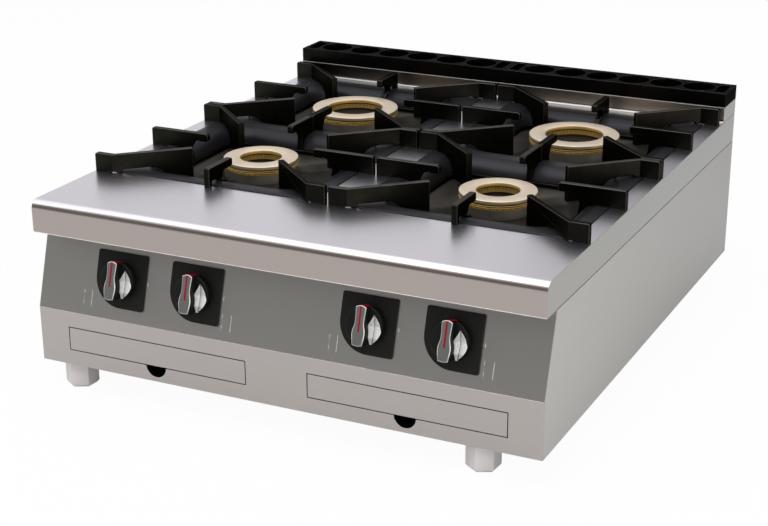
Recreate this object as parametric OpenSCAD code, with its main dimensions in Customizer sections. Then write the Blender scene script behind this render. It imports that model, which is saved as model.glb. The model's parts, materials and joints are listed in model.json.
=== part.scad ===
// Countertop gas range with four open ring burners.
// The origin is on the floor, in the middle of the range's box, the knobs included.
// +X is to the right of a cook at the range, +Y runs to the back, +Z is up.

/* [Body] */
// Width over the side panels
body_w = 800; // [800:1:880]
// Depth from the nose to the back of the side panels
body_d = 900; // [894:1:960]
// Height from the underside of the base sheet to the worktop
body_h = 250; // [240:1:290]
// Thickness of the folded sheets of the body
sheet_t = 1.5; // [1:0.1:2]
// Thickness of the worktop sheet
worktop_t = 2; // [1.5:0.1:3]
// Height of the worktop's folded edge, at the nose and the sides
nose_h = 48.5; // [42:0.5:54]
// Radius of the fold along the top of the nose
nose_r = 13; // [4:0.5:14]
// How far the nose stands in front of the control panel's top edge
panel_setback = 36.5; // [28:0.5:44]
// Share of the front's height below the nose that stands upright, under the control panel
upright_share = 0.4203; // [0.4:0.0001:0.44]
// Shadow gap between the worktop's side edge and the side panel
seam_gap = 0.6; // [0.3:0.1:0.9]
// How deep the rear panel lies inside the ends of the side panels
rear_recess = 4; // [3.5:0.5:8]
// Width of the flanges that carry the rear panel
rear_flange_w = 15; // [12:1:25]

/* [Feet] */
// Height of the feet under the base sheet
foot_h = 43; // [36:1:60]
// Radius over the corners of a foot's hexagon
foot_r = 25; // [20:0.5:28]
// Size of the chamfer round the foot's sole
foot_chamfer = 4; // [3:0.5:10]
// Turn of each foot's hexagon on its stud as it stands
foot_turn = 26; // [0:1:59]
// Inset of the left feet from the left side
foot_left_inset = 45; // [40:1:60]
// Inset of the right feet from the right side
foot_right_inset = 97; // [80:1:110]
// Inset of the front feet from the front
foot_front_inset = 32; // [29:1:36]
// Inset of the rear feet from the back
foot_rear_inset = 50; // [40:1:70]
// Radius of a foot's threaded stud
stud_r = 5; // [4:0.5:6]
// Height of the weld nut that takes the stud
nut_h = 8; // [6:0.5:10]

/* [Flue] */
// Depth of the flue castings
flue_d = 68; // [66:1:72]
// Height of the riser between the worktop and the castings
riser_h = 26; // [18:1:40]
// How far the riser's front stands in front of the castings
riser_lip = 2; // [1:0.5:3]
// Height of a flue casting
casting_h = 23; // [18:1:30]
// Thickness of a casting's walls and top
casting_wall = 5; // [4:0.5:6]
// Radius of the round flue holes
flue_hole_r = 27; // [22:0.5:28]
// Distance between neighbouring flue holes
flue_hole_pitch = 57.8; // [57.5:0.1:58]
// Number of round holes in a casting
flue_hole_n = 6; // [4:1:6]
// Width of the small square hole at each end of a casting
flue_end_hole_w = 18; // [10:1:19]

/* [Pans] */
// Distance of the burners from the middle line
burner_x = 200; // [199:0.5:201]
// Distance of the front burners from the nose
front_burner_y = 322.5; // [321:0.5:323]
// Distance of the rear burners from the nose
rear_burner_y = 650; // [649.5:0.5:651]
// Width of a well's floor
well_w = 255; // [250:1:257]
// Depth of a well's floor, front to back
well_d = 236; // [230:1:238]
// Corner radius of a well's floor
well_corner_r = 40; // [20:1:60]
// How far each well is set from its burner towards the other well
well_shift = 10; // [8:0.5:12]
// Depth of the well floor below the worktop
well_depth = 25; // [25:0.5:32]
// Radius of the rounded shoulder between flange and floor
shoulder_r = 26; // [22:0.5:26]
// Width of the flange round the wells
flange_w = 19.5; // [15:0.5:20]
// Thickness of the enamelled pan
pan_t = 1.6; // [1.2:0.1:2]
// Corner radius of the flange
pan_corner_r = 4; // [3:0.5:20]

/* [Burners] */
// Outer radius of the front burners' brass rings
front_ring_ro = 58.5; // [56:0.5:62]
// Inner radius of the front burners' brass rings
front_ring_ri = 32.5; // [28:0.5:34]
// Outer radius of the rear burners' brass rings
rear_ring_ro = 73.5; // [72:0.5:78]
// Inner radius of the rear burners' brass rings
rear_ring_ri = 47; // [42:0.5:49]
// Height of the ring's top over the worktop
ring_top = 4; // [2:0.5:7]
// Height of a ring
ring_h = 14.5; // [13:0.5:15]
// Ports round a front ring
front_port_n = 36; // [24:1:48]
// Ports round a rear ring
rear_port_n = 44; // [24:1:56]
// How far a ring overhangs the burner body
ring_overhang = 2; // [1.5:0.5:4]
// Radius of the burner's neck through the pan
neck_r = 40; // [38:0.5:42]
// Depth of the neck's lower end below the worktop
neck_depth = 85; // [82:1:95]
// Radius of the air hole through the burner
air_hole_r = 18; // [14:0.5:20]
// Wall of the cast burner body
burner_wall = 4; // [3:0.5:4.5]
// Outer radius of the mixing tube
mixer_r = 17; // [15:0.5:18]
// Distance of the mixing tube's mouth from the burner's centre
mixer_l = 150; // [140:1:152]

/* [Grates] */
// Gap between two grates side by side
grate_gap = 5; // [2:0.5:10]
// Depth of a grate, front to back
grate_d = 325; // [321:0.5:326]
// Height of the grate's top over the worktop
grate_top = 29; // [26:0.5:40]
// Thickness of a fin
fin_t = 9.5; // [7:0.5:12]
// Distance of the fins' tips from the burner's centre
tip_r = 94; // [84:1:98]
// Height of a tip
tip_h = 13; // [10:0.5:15]
// Height of the arches under the near and the diagonal fins
arch_h = 8; // [6:0.5:10]
// Height of the frame that joins the fins at the foot of the well's wall
frame_h = 6; // [5:0.5:8]
// Width of that frame
frame_w = 6; // [5:0.5:8]

/* [Controls] */
// Distance of the outer knobs from the middle line
outer_knob_x = 262.5; // [255:0.5:270]
// Distance of the inner knobs from the middle line
inner_knob_x = 136.5; // [130:0.5:145]
// Height of the knobs' axes, up the sloping panel
knob_s = 59.75; // [55:0.25:65]
// Radius of a knob's body
knob_r = 28; // [24:0.5:30]
// Height of the knob's face over the panel
knob_face = 30; // [27:0.5:36]
// How far a knob can be pushed in
knob_push = 3; // [2:0.5:4]
// Width of a bezel
bezel_w = 84; // [76:0.5:90]
// Height of a bezel
bezel_h = 82; // [76:0.5:88]
// Thickness of a bezel
bezel_t = 3; // [1.5:0.5:3]
// Radius of a bezel's round lower left corner
bezel_round_r = 45; // [20:1:50]
// Radius of a valve spindle
spindle_r = 4; // [3:0.5:5]
// Radius of a gas valve's body
valve_r = 13; // [12:0.5:15]
// Length of a gas valve's body
valve_l = 55; // [50:1:60]
// Radius of the gas manifold pipe
manifold_r = 10.65; // [9:0.05:11]

/* [Drip trays] */
// Distance of the trays' middles from the middle line
tray_x = 199.5; // [199:0.5:201]
// Width of a tray's front
tray_w = 299; // [290:1:304]
// Height of the lower edge of a tray's front over the base
tray_low = 24.5; // [22:0.5:26]
// Height of a tray's front
tray_front_h = 35; // [30:0.5:38]
// Length of a tray, front to back
tray_l = 760; // [700:1:770]
// Gap round a tray's front
tray_gap = 1; // [0.8:0.1:1.5]
// Radius of the finger notch below a tray
notch_r = 16.5; // [12:0.5:18]

/* [Hidden] */

$fn = 72;

// A hair more than a cut needs, so that it opens the face it passes
over = 1;
// Radial clearance of a turning or sliding fit
fit = 0.05;
// Clearance between loose castings
loose = 0.6;

// The upright front and, above it, the sloping control panel: its tilt from the vertical and its sheet's
// level thickness
lower_front_h = upright_share*(body_h - nose_h);
panel_rise = body_h - nose_h - lower_front_h;
panel_tilt = atan(panel_setback/panel_rise);
panel_level_t = sheet_t/cos(panel_tilt);
panel_lap = 12;

// The grip of a knob reaches this far below its axis, and its lower end stands out in front of the nose
grip_low = 27.6;
knob_overhang = max(0, knob_face*cos(panel_tilt) - (knob_s - grip_low)*sin(panel_tilt));

front = (knob_overhang - body_d)/2;
back = front + body_d;
base_z = foot_h;
top_z = foot_h + body_h;
skirt_z = top_z - nose_h;

// The wells' outlines at the floor and at the flange
well_top_w = well_w + 2*shoulder_r;
well_top_d = well_d + 2*shoulder_r;
well_top_corner_r = well_corner_r + shoulder_r;
front_well_y = front_burner_y + well_shift;
rear_well_y = rear_burner_y - well_shift;
pan_w = well_top_w + 2*flange_w;
pan_d = rear_well_y - front_well_y + well_top_d + 2*flange_w;
pan_y = (front_well_y + rear_well_y)/2;
opening_gap = 1;

// The four burners: name, side, distance from the nose and which way the nearer pan edge lies
FL = [-1, front_burner_y, -1];
FR = [1, front_burner_y, -1];
RL = [-1, rear_burner_y, 1];
RR = [1, rear_burner_y, 1];
burners = [FL, FR, RL, RR];

function is_front(b) = b[2] < 0;
function ring_ro(b) = is_front(b) ? front_ring_ro : rear_ring_ro;
function ring_ri(b) = is_front(b) ? front_ring_ri : rear_ring_ri;
function port_n(b) = is_front(b) ? front_port_n : rear_port_n;

// The inner knobs serve the front burners and the outer knobs the rear ones
function knob_x(b) = b[0]*(is_front(b) ? inner_knob_x : outer_knob_x);

// Colours of the photographed range
steel = [0.75, 0.74, 0.73];
side_steel = [0.69, 0.68, 0.66];
panel_steel = [0.5, 0.49, 0.47];
enamel = [0.12, 0.12, 0.14];
iron = [0.09, 0.09, 0.1];
brass = [0.83, 0.68, 0.42];
cast_grey = [0.25, 0.25, 0.26];
plastic = [0.08, 0.08, 0.09];
foot_grey = [0.75, 0.74, 0.72];

// Turns a drawing in (distance from the nose, height) into a length along X
module along_x(length) {
    rotate([90, 0, 90])
        linear_extrude(length)
            children();
}

// Places a drawing on the control panel: x across, y up the slope, z out towards the cook
module on_panel(x, s) {
    translate([x, front, base_z + lower_front_h])
        rotate([90 - panel_tilt, 0, 0])
            translate([0, s, 0])
                children();
}

module at_burner(b) {
    translate([b[0]*burner_x, front + b[1], top_z])
        children();
}

module rounded_rect(w, d, r) {
    union() {
        square([w - 2*r, d], center = true);
        square([w, d - 2*r], center = true);
        for (x = [-1, 1], y = [-1, 1])
            translate([x*(w/2 - r), y*(d/2 - r)])
                circle(r);
    }
}

// A block from one corner to the opposite one
module block(low, high) {
    translate(low)
        cube(high - low);
}

// Section of the worktop's edge: a bar with one round corner, drawn a sheet's thickness smaller for the hollow
module edge_section(inset) {
    r = nose_r - inset;
    translate([inset + r, inset])
        square([body_d - 2*inset - r, nose_h - 2*inset]);
    translate([inset, inset])
        square([2*r, nose_h - 2*inset - r]);
    translate([inset + r, nose_h - inset - r])
        circle(r);
}

// Plan of the hole in the worktop under one pan
module pan_opening() {
    rounded_rect(well_top_w + 2*opening_gap, rear_well_y - front_well_y + well_top_d + 2*opening_gap,
        well_top_corner_r + opening_gap);
}

// The flue draws its air through a slot in the worktop, this far inside the riser's walls
flue_slot_inset = 12;

module worktop() {
    inner_w = body_w - 2*worktop_t;
    color(steel)
        difference() {
            translate([-body_w/2, front, skirt_z])
                along_x(body_w) edge_section(0);
            translate([-inner_w/2, front, skirt_z])
                along_x(inner_w) edge_section(worktop_t);
            block([-inner_w/2, front + panel_setback + panel_lap, skirt_z - over],
                [inner_w/2, back - worktop_t, skirt_z + worktop_t + over]);
            for (side = [-1, 1])
                translate([side*burner_x, front + pan_y, top_z - worktop_t - over])
                    linear_extrude(worktop_t + 2*over)
                        pan_opening();
            block([-body_w/2 + flue_slot_inset, back - flue_d + flue_slot_inset, top_z - worktop_t - over],
                [body_w/2 - flue_slot_inset, back - flue_slot_inset, top_z + over]);
        }
}

panel_top = skirt_z - seam_gap;
rear_panel_y = back - rear_recess - sheet_t;

// A side panel follows the slope of the control panel, which covers its front edge
module side_panel(side) {
    inner = body_w/2 - sheet_t;
    color(side_steel)
        difference() {
            scale([side, 1, 1]) {
                translate([inner, front, 0])
                    along_x(sheet_t)
                        polygon([
                            [sheet_t, base_z],
                            [sheet_t, base_z + lower_front_h],
                            [panel_level_t, base_z + lower_front_h],
                            [panel_setback + panel_level_t, panel_top],
                            [body_d, panel_top],
                            [body_d, base_z]
                        ]);
                block([inner - rear_flange_w, rear_panel_y - sheet_t, base_z + sheet_t],
                    [inner, rear_panel_y, panel_top]);
            }
            at_screws()
                cylinder(r = screw_r + fit, h = 4*sheet_t, center = true);
        }
}

// The screws that hold the rear panel to the side panels' flanges
screw_r = 2;
screw_head_r = 4;
screw_head_h = 2.5;
screw_l = 10;
screw_rows = 3;
screw_x = body_w/2 - sheet_t - rear_flange_w/2;

function screw_z(row) = base_z + nose_h/2 + row*(panel_top - base_z - nose_h)/(screw_rows - 1);

module at_screws() {
    for (side = [-1, 1], row = [0:screw_rows - 1])
        translate([side*screw_x, rear_panel_y, screw_z(row)])
            rotate([-90, 0, 0])
                children();
}

// Slots in the rear panel let in the burners' air
vent_n = 12;
vent_w = 6;
vent_h = 60;
vent_pitch = 40;

module rear_panel() {
    inner = body_w/2 - sheet_t;
    color(side_steel)
        difference() {
            block([-inner, rear_panel_y, base_z], [inner, rear_panel_y + sheet_t, panel_top]);
            at_screws()
                cylinder(r = screw_r + fit, h = 4*sheet_t, center = true);
            for (i = [0:vent_n - 1])
                translate([(i - (vent_n - 1)/2)*vent_pitch, rear_panel_y, base_z + lower_front_h])
                    cube([vent_w, 4*sheet_t, vent_h], center = true);
        }
}

module rear_screws() {
    color(steel)
        at_screws() {
            translate([0, 0, sheet_t])
                cylinder(r = screw_head_r, h = screw_head_h);
            translate([0, 0, sheet_t - screw_l])
                cylinder(r = screw_r, h = screw_l);
        }
}

function foot_x(b) = b[0] < 0 ? -body_w/2 + foot_left_inset : body_w/2 - foot_right_inset;
function foot_y(b) = is_front(b) ? front + foot_front_inset : back - foot_rear_inset;

// The gas comes in from below, behind the right tray
inlet_x = body_w/2 - sheet_t - 28;
inlet_y = back - foot_rear_inset - 30;
inlet_thread_r = 13.2;
inlet_thread_l = 22;
inlet_hex_r = 18;
inlet_hex_h = 6;

module base_panel() {
    inner = body_w/2 - sheet_t;
    color(side_steel)
        difference() {
            union() {
                block([-inner, front + sheet_t, base_z], [inner, rear_panel_y, base_z + sheet_t]);
                for (b = burners)
                    translate([foot_x(b), foot_y(b), base_z])
                        cylinder(r = 2*stud_r - 1, h = sheet_t + nut_h);
            }
            for (b = burners)
                translate([foot_x(b), foot_y(b), base_z - over])
                    cylinder(r = stud_r + fit, h = sheet_t + nut_h + 2*over);
            translate([inlet_x, inlet_y, base_z - over])
                cylinder(r = inlet_thread_r + fit, h = sheet_t + 2*over);
        }
}

spindle_hole_r = 2*spindle_r;

module control_panel() {
    color(panel_steel)
        difference() {
            translate([-body_w/2, front, base_z + lower_front_h])
                along_x(body_w)
                    polygon([
                        [0, 0],
                        [panel_setback, panel_rise],
                        [panel_setback + panel_level_t, panel_rise],
                        [panel_level_t, 0]
                    ]);
            for (b = burners)
                on_panel(knob_x(b), knob_s)
                    cylinder(r = spindle_hole_r, h = 4*sheet_t, center = true);
        }
}

// The upright front, cut out for the two tray fronts and their finger notches
module lower_front() {
    cut_w = tray_w + 2*tray_gap;
    cut_low = base_z + tray_low - tray_gap;
    color(side_steel)
        difference() {
            block([-body_w/2, front, base_z], [body_w/2, front + sheet_t, base_z + lower_front_h]);
            for (side = [-1, 1]) {
                translate([side*tray_x, front, cut_low + tray_front_h/2 + tray_gap])
                    cube([cut_w, 4*sheet_t, tray_front_h + 2*tray_gap], center = true);
                translate([side*tray_x, front, cut_low])
                    rotate([90, 0, 0])
                        cylinder(r = notch_r, h = 4*sheet_t, center = true);
            }
        }
}

// The divider stands between the two trays and carries the worktop's middle strip
divider_front = 78;

module centre_divider() {
    color(side_steel)
        block([-sheet_t/2, front + divider_front, base_z + sheet_t],
            [sheet_t/2, rear_panel_y, top_z - worktop_t]);
}

// Each burner's injector sits in a rail across its half of the body, just in front of the mixing tube
mixer_z = top_z - neck_depth + mixer_r + 8;
rail_gap = 12;
rail_low = 36;
rail_foot_w = 14;
injector_r = 5;

function rail_y(b) = front + b[1] - mixer_l - rail_gap;

module burner_rail(b) {
    outer = body_w/2 - sheet_t;
    inner = sheet_t/2;
    scale([b[0], 1, 1])
        difference() {
            union() {
                block([inner, rail_y(b) - sheet_t, mixer_z - rail_low], [outer, rail_y(b), panel_top]);
                block([inner, rail_y(b) - rail_foot_w, mixer_z - rail_low],
                    [outer, rail_y(b) - sheet_t, mixer_z - rail_low + sheet_t]);
            }
            translate([burner_x, rail_y(b), mixer_z])
                rotate([90, 0, 0])
                    cylinder(r = injector_r + fit, h = 4*sheet_t, center = true);
        }
}

module burner_rails() {
    color(side_steel)
        for (b = burners)
            burner_rail(b);
}

riser_front = back - flue_d - riser_lip;

module flue_riser() {
    color(steel)
        difference() {
            block([-body_w/2, riser_front, top_z], [body_w/2, back, top_z + riser_h]);
            block([-body_w/2 + sheet_t, riser_front + sheet_t, top_z - over],
                [body_w/2 - sheet_t, back - sheet_t, top_z + riser_h + over]);
        }
}

// Half of the flue's top: a hollow casting with a row of round holes and a square one at each end
casting_joint = 0.5;

module flue_grille(side) {
    w = (body_w - casting_joint)/2;
    z = top_z + riser_h;
    mid_y = back - flue_d/2;
    row_w = (flue_hole_n - 1)*flue_hole_pitch + 2*flue_hole_r;
    end_gap = (w - row_w)/2;
    end_d = flue_d - 4*casting_wall;
    color(iron)
        translate([side*(w + casting_joint)/2, mid_y, z])
            difference() {
                translate([-w/2, -flue_d/2, 0])
                    cube([w, flue_d, casting_h]);
                translate([-w/2 + casting_wall, -flue_d/2 + casting_wall, -over])
                    cube([w - 2*casting_wall, flue_d - 2*casting_wall, casting_h - casting_wall + over]);
                for (i = [0:flue_hole_n - 1])
                    translate([(i - (flue_hole_n - 1)/2)*flue_hole_pitch, 0, 0])
                        cylinder(r = flue_hole_r, h = casting_h + over);
                for (end = [-1, 1])
                    translate([end*(w/2 - casting_wall - flue_end_hole_w/2 - 1), 0, casting_h])
                        cube([min(flue_end_hole_w, end_gap), end_d, 4*casting_wall], center = true);
            }
}

// Sweeps a section round a rounded rectangle: the section's x is the distance outside the rectangle
module round_frame(w, d, r) {
    for (c = [[1, 1, 0], [-1, 1, 90], [-1, -1, 180], [1, -1, 270]])
        translate([c[0]*(w/2 - r), c[1]*(d/2 - r), 0])
            rotate([0, 0, c[2]])
                rotate_extrude(angle = 90)
                    translate([r, 0])
                        children();
    for (turn = [0, 180]) {
        rotate([0, 0, turn])
            translate([w/2, 0, 0])
                rotate([90, 0, 0])
                    linear_extrude(d - 2*r, center = true)
                        children();
        rotate([0, 0, turn + 90])
            translate([d/2, 0, 0])
                rotate([90, 0, 0])
                    linear_extrude(w - 2*r, center = true)
                        children();
    }
}

// The shoulder's section: a quarter ring from the flange down to the floor
shoulder_z = pan_t - shoulder_r;
shoulder_steps = 8;

function shoulder_at(r, angle) = [shoulder_r - r*cos(angle), shoulder_z + r*sin(angle)];

module shoulder_section() {
    inner_r = shoulder_r - pan_t;
    polygon([
        for (k = [0:shoulder_steps])
            shoulder_at(shoulder_r, 90*k/shoulder_steps),
        for (k = [shoulder_steps:-1:0])
            shoulder_at(inner_r, 90*k/shoulder_steps),
        [pan_t, -well_depth],
        [0, -well_depth]
    ]);
}

neck_hole_r = neck_r + 2;

// One enamelled pan lies on the worktop with its flange and holds the front and the rear well
module pan(side) {
    color(enamel)
        translate([side*burner_x, front, top_z]) {
            translate([0, pan_y, 0])
                linear_extrude(pan_t)
                    difference() {
                        rounded_rect(pan_w, pan_d, pan_corner_r);
                        for (y = [front_well_y, rear_well_y])
                            translate([0, y - pan_y])
                                rounded_rect(well_top_w, well_top_d, well_top_corner_r);
                    }
            for (well = [[front_well_y, front_burner_y], [rear_well_y, rear_burner_y]]) {
                translate([0, well[0], 0])
                    round_frame(well_w, well_d, well_corner_r)
                        shoulder_section();
                translate([0, 0, -well_depth - pan_t])
                    linear_extrude(pan_t)
                        difference() {
                            translate([0, well[0]])
                                rounded_rect(well_w + 2*pan_t, well_d + 2*pan_t, well_corner_r + pan_t);
                            translate([0, well[1]])
                                circle(neck_hole_r);
                        }
            }
        }
}

// Heights in a burner, from the worktop down
seat_z = ring_top - ring_h;
collar_flare = 1;
collar_t = 3;
throat_z = seat_z - 5.5;
inner_plate_t = 3;
inner_lip = 1;

// Section of the cast burner body: a round trough with a neck, open in the middle for air
module burner_section(ro, ri) {
    rim = ro - ring_overhang;
    hub = air_hole_r + burner_wall;
    crown = ri + inner_lip + burner_wall;
    polygon([
        [air_hole_r, -neck_depth],
        [neck_r, -neck_depth],
        [neck_r, -well_depth],
        [rim + collar_flare, -well_depth],
        [rim + collar_flare, -well_depth + collar_t],
        [rim, seat_z],
        [rim - burner_wall, seat_z],
        [rim - burner_wall, throat_z - 2],
        [neck_r - burner_wall, -well_depth + collar_t],
        [neck_r - burner_wall, -neck_depth + burner_wall],
        [hub, -neck_depth + burner_wall],
        [hub, throat_z],
        [crown, throat_z],
        [crown, seat_z],
        [ri + inner_lip, seat_z],
        [ri + inner_lip, throat_z + inner_plate_t],
        [air_hole_r, throat_z + inner_plate_t]
    ]);
}

bell_l = 12;
bell_flare = 5;
mixer_wall = 4;

module burner_body(b) {
    mixer_drop = mixer_z - top_z;
    bore = mixer_r - mixer_wall;
    color(cast_grey)
        at_burner(b)
            difference() {
                union() {
                    rotate_extrude()
                        burner_section(ring_ro(b), ring_ri(b));
                    translate([0, -neck_r + burner_wall/2, mixer_drop])
                        rotate([90, 0, 0]) {
                            cylinder(r = mixer_r, h = mixer_l - neck_r + burner_wall/2);
                            translate([0, 0, mixer_l - neck_r + burner_wall/2 - bell_l])
                                cylinder(r1 = mixer_r, r2 = mixer_r + bell_flare, h = bell_l);
                        }
                }
                translate([0, -air_hole_r - 2*burner_wall, mixer_drop])
                    rotate([90, 0, 0])
                        cylinder(r = bore, h = mixer_l);
                translate([0, -mixer_l + bell_l, mixer_drop])
                    rotate([90, 0, 0])
                        cylinder(r1 = bore, r2 = bore + bell_flare, h = bell_l + over/10);
            }
}

// Section of a brass ring: a bevelled top plate, a groove, and a ported crown over a gas chamber
ring_bevel = 3;
groove_z = -1.5;
groove_h = 2;
groove_d = 3;
skirt_h = 3;
skirt_t = 2;
skirt_fit = 0.4;

module ring_section(ro, ri) {
    register = ro - ring_overhang - burner_wall - skirt_fit;
    difference() {
        polygon([
            [ri + 1.5, ring_top],
            [ro - ring_bevel, ring_top],
            [ro, ring_top - ring_bevel],
            [ro, groove_z],
            [ro - groove_d, groove_z],
            [ro - groove_d, groove_z - groove_h],
            [ro - 1, groove_z - groove_h],
            [ro - 1.5, seat_z],
            [register, seat_z],
            [register, seat_z - skirt_h],
            [register - skirt_t, seat_z - skirt_h],
            [register - skirt_t, seat_z],
            [ri + inner_lip, seat_z],
            [ri + inner_lip, groove_z - groove_h],
            [ri + 2.5, groove_z - groove_h],
            [ri + 2.5, groove_z],
            [ri, groove_z],
            [ri, ring_top - 1.5]
        ]);
        polygon([
            [ri + inner_lip + burner_wall + 1, seat_z - over],
            [ri + inner_lip + burner_wall + 1, groove_z + groove_h/2],
            [ro - 2*groove_d, groove_z + groove_h/2],
            [ro - 2*groove_d, seat_z + 2.5],
            [register - skirt_t, seat_z + 2.5],
            [register - skirt_t, seat_z - over]
        ]);
    }
}

port_w = 2;
port_h = 2.5;
port_roof = 0.8;

module burner_ring(b) {
    ro = ring_ro(b);
    ri = ring_ri(b);
    color(brass)
        at_burner(b)
            difference() {
                rotate_extrude()
                    ring_section(ro, ri);
                for (i = [0:port_n(b) - 1])
                    rotate([0, 0, (i + 0.5)*360/port_n(b)])
                        translate([ro - 2*groove_d - over, -port_w/2, groove_z - groove_h - port_roof - port_h])
                            cube([2*groove_d + 2*over, port_w, port_h]);
            }
}

// Heights and lengths in a grate, from the worktop and from the burner's centre
grate_w = 2*burner_x - grate_gap;
grate_floor = -well_depth + loose;
shoulder_clear = 1;
frame_clear = 1.5;
leg_t = 5;
leg_top_r = 121;
leg_mid_r = 127;
notch_round = 3;
corner_round = 3;
side_wall_r = well_w/2;
near_wall_r = well_d/2 - well_shift;
far_wall_r = well_d/2 + well_shift;
side_toe = grate_w/2 - (pan_w/2 + 1.5);
near_toe = grate_d/2 - (near_wall_r + shoulder_r + flange_w + 1);
far_toe = grate_d/2 - (far_wall_r + shoulder_r + 1);

// Side view of a fin: x is the distance from the burner's centre, y the height over the worktop.
// reach is the fin's outer end, toe the length of its foot, seat the foot's height,
// wall the distance to the foot of the pan's shoulder, and an arched fin bridges the pan's flange higher.
module fin_profile(reach, toe, seat, wall, arched) {
    centre_r = wall + shoulder_r;
    clear_r = shoulder_r + shoulder_clear;
    difference() {
        union() {
            polygon([
                [tip_r, grate_top],
                [reach - corner_round, grate_top],
                [reach, grate_top - corner_round],
                [reach, seat],
                [reach - toe, seat],
                [reach - toe, shoulder_z],
                [centre_r, shoulder_z],
                [centre_r, grate_floor],
                [wall - leg_t, grate_floor],
                [wall - leg_t/2, shoulder_z + shoulder_r/2],
                [min(leg_mid_r, wall + leg_t), 0],
                [leg_mid_r, notch_round],
                [leg_top_r, grate_top - tip_h - notch_round],
                [leg_top_r - notch_round, grate_top - tip_h],
                [tip_r, grate_top - tip_h]
            ]);
            translate([reach - corner_round, grate_top - corner_round])
                circle(corner_round);
        }
        translate([centre_r, shoulder_z])
            circle(clear_r);
        translate([centre_r, grate_floor - over])
            square([reach - toe - centre_r, clear_r + shoulder_z - grate_floor + over]);
        if (arched)
            arch(centre_r - corner_round, reach - toe);
        translate([leg_top_r - 3*notch_round, grate_top - tip_h])
            circle(notch_round/1.5);
    }
}

// Space under a fin where it bridges the pan's flange, with round upper corners
module arch(from, to) {
    translate([from, 0])
        square([to - from, arch_h - corner_round]);
    translate([from + corner_round, 0])
        square([to - from - 2*corner_round, arch_h]);
    for (x = [from + corner_round, to - corner_round])
        translate([x, arch_h - corner_round])
            circle(corner_round);
}

module upright(turn) {
    rotate([0, 0, turn])
        rotate([90, 0, 0])
            linear_extrude(fin_t, center = true)
                children();
}

// A diagonal fin runs from the burner to the bend, where its foot turns along the grate's edge
diagonal_inner = [78, 75];
diagonal_bend = [grate_w/2 - 30.5, grate_d/2 - fin_t/2];
diagonal_run = diagonal_bend - diagonal_inner;
diagonal_l = norm(diagonal_run);
diagonal_turn = atan2(diagonal_run[1], diagonal_run[0]);

// A diagonal meets the round corner of the well's floor askew, so it keeps further off the shoulder
askew_clear = 3;

// Along the diagonal, the distance at which it meets that corner, for a well's wall this far from the burner
function diagonal_wall(wall) = let (
        off = diagonal_inner - [side_wall_r - well_corner_r, wall - well_corner_r],
        along = off*diagonal_run/diagonal_l
    ) sqrt(pow(along, 2) - off*off + pow(well_corner_r, 2)) - along;

// A diagonal's top and underside lie a hair inside those of its foot
diagonal_drop = 0.4;

module diagonal_profile(wall) {
    centre_t = diagonal_wall(wall) + shoulder_r;
    top = grate_top - diagonal_drop;
    underside = arch_h + diagonal_drop;
    difference() {
        polygon([
            [0, top],
            [diagonal_l, top],
            [diagonal_l, underside],
            [centre_t, underside],
            [centre_t, grate_floor],
            [0, grate_floor]
        ]);
        translate([centre_t, shoulder_z])
            circle(shoulder_r + askew_clear);
        translate([centre_t - 3 + corner_round, underside - corner_round])
            circle(corner_round);
    }
}

// The foot of a diagonal: an upright along the grate's edge, down to the worktop and stepped over the flange
module diagonal_foot() {
    foot_l = grate_w/2 - diagonal_bend[0];
    step_l = foot_l - side_toe;
    translate([0, grate_d/2 - fin_t/2, 0])
        upright(0)
            translate([diagonal_bend[0], 0])
                difference() {
                    union() {
                        square([foot_l, grate_top - corner_round]);
                        square([foot_l - corner_round, grate_top]);
                        translate([foot_l - corner_round, grate_top - corner_round])
                            circle(corner_round);
                    }
                    translate([-over, -over])
                        square([step_l + over, pan_t + shoulder_clear + over]);
                }
}

// A grate has eight fins, joined by a low frame that follows the foot of the well's wall
module grate(b) {
    color(iron)
        at_burner(b)
            scale([1, -b[2], 1])
                union() {
                    for (turn = [0, 180])
                        upright(turn)
                            fin_profile(grate_w/2, side_toe, 0, side_wall_r, false);
                    upright(90)
                        fin_profile(grate_d/2, far_toe, pan_t, far_wall_r, false);
                    upright(270)
                        fin_profile(grate_d/2, near_toe, 0, near_wall_r, true);
                    for (x = [-1, 1], y = [-1, 1])
                        scale([x, y, 1]) {
                            translate(diagonal_inner)
                                upright(diagonal_turn)
                                    diagonal_profile(y > 0 ? far_wall_r : near_wall_r);
                            diagonal_foot();
                        }
                    translate([0, well_shift, grate_floor])
                        round_frame(well_w, well_d, well_corner_r)
                            translate([-frame_clear - frame_w, 0])
                                square([frame_w, frame_h]);
                }
}

bezel_corner_r = 3;

module bezel() {
    linear_extrude(bezel_t)
        difference() {
            union() {
                translate([bezel_round_r/2, 0])
                    rounded_rect(bezel_w - bezel_round_r, bezel_h, bezel_corner_r);
                translate([0, bezel_round_r/2])
                    rounded_rect(bezel_w, bezel_h - bezel_round_r, bezel_corner_r);
                intersection() {
                    translate([-bezel_w/2 + bezel_round_r, -bezel_h/2 + bezel_round_r])
                        circle(bezel_round_r);
                    translate([-bezel_w/2, -bezel_h/2])
                        square([bezel_w - 2*bezel_corner_r, bezel_h - 2*bezel_corner_r]);
                }
            }
            circle(spindle_hole_r);
        }
}

module bezels() {
    color(plastic)
        for (b = burners)
            on_panel(knob_x(b), knob_s)
                bezel();
}

// Heights over the panel, along a knob's axis
knob_low = bezel_t + knob_push + 0.5;
knob_skirt_h = 9;
bore_top = knob_face - 6;
pointer_t = 1;
pointer_w = 2.8;
pointer_top = 27.5;
pointer_bottom = -8.4;
pointer_fit = 0.02;

// Depths behind the panel, along a valve's axis
valve_front = 22;
bonnet_l = 10;
bonnet_r = 9;
plug_r = 7.5;
plug_l = 28;
plug_cap = 5;
spindle_end = valve_front + plug_cap + 14;
outlet_r = 6;
outlet_l = 8;
pipe_r = 4;

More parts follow.
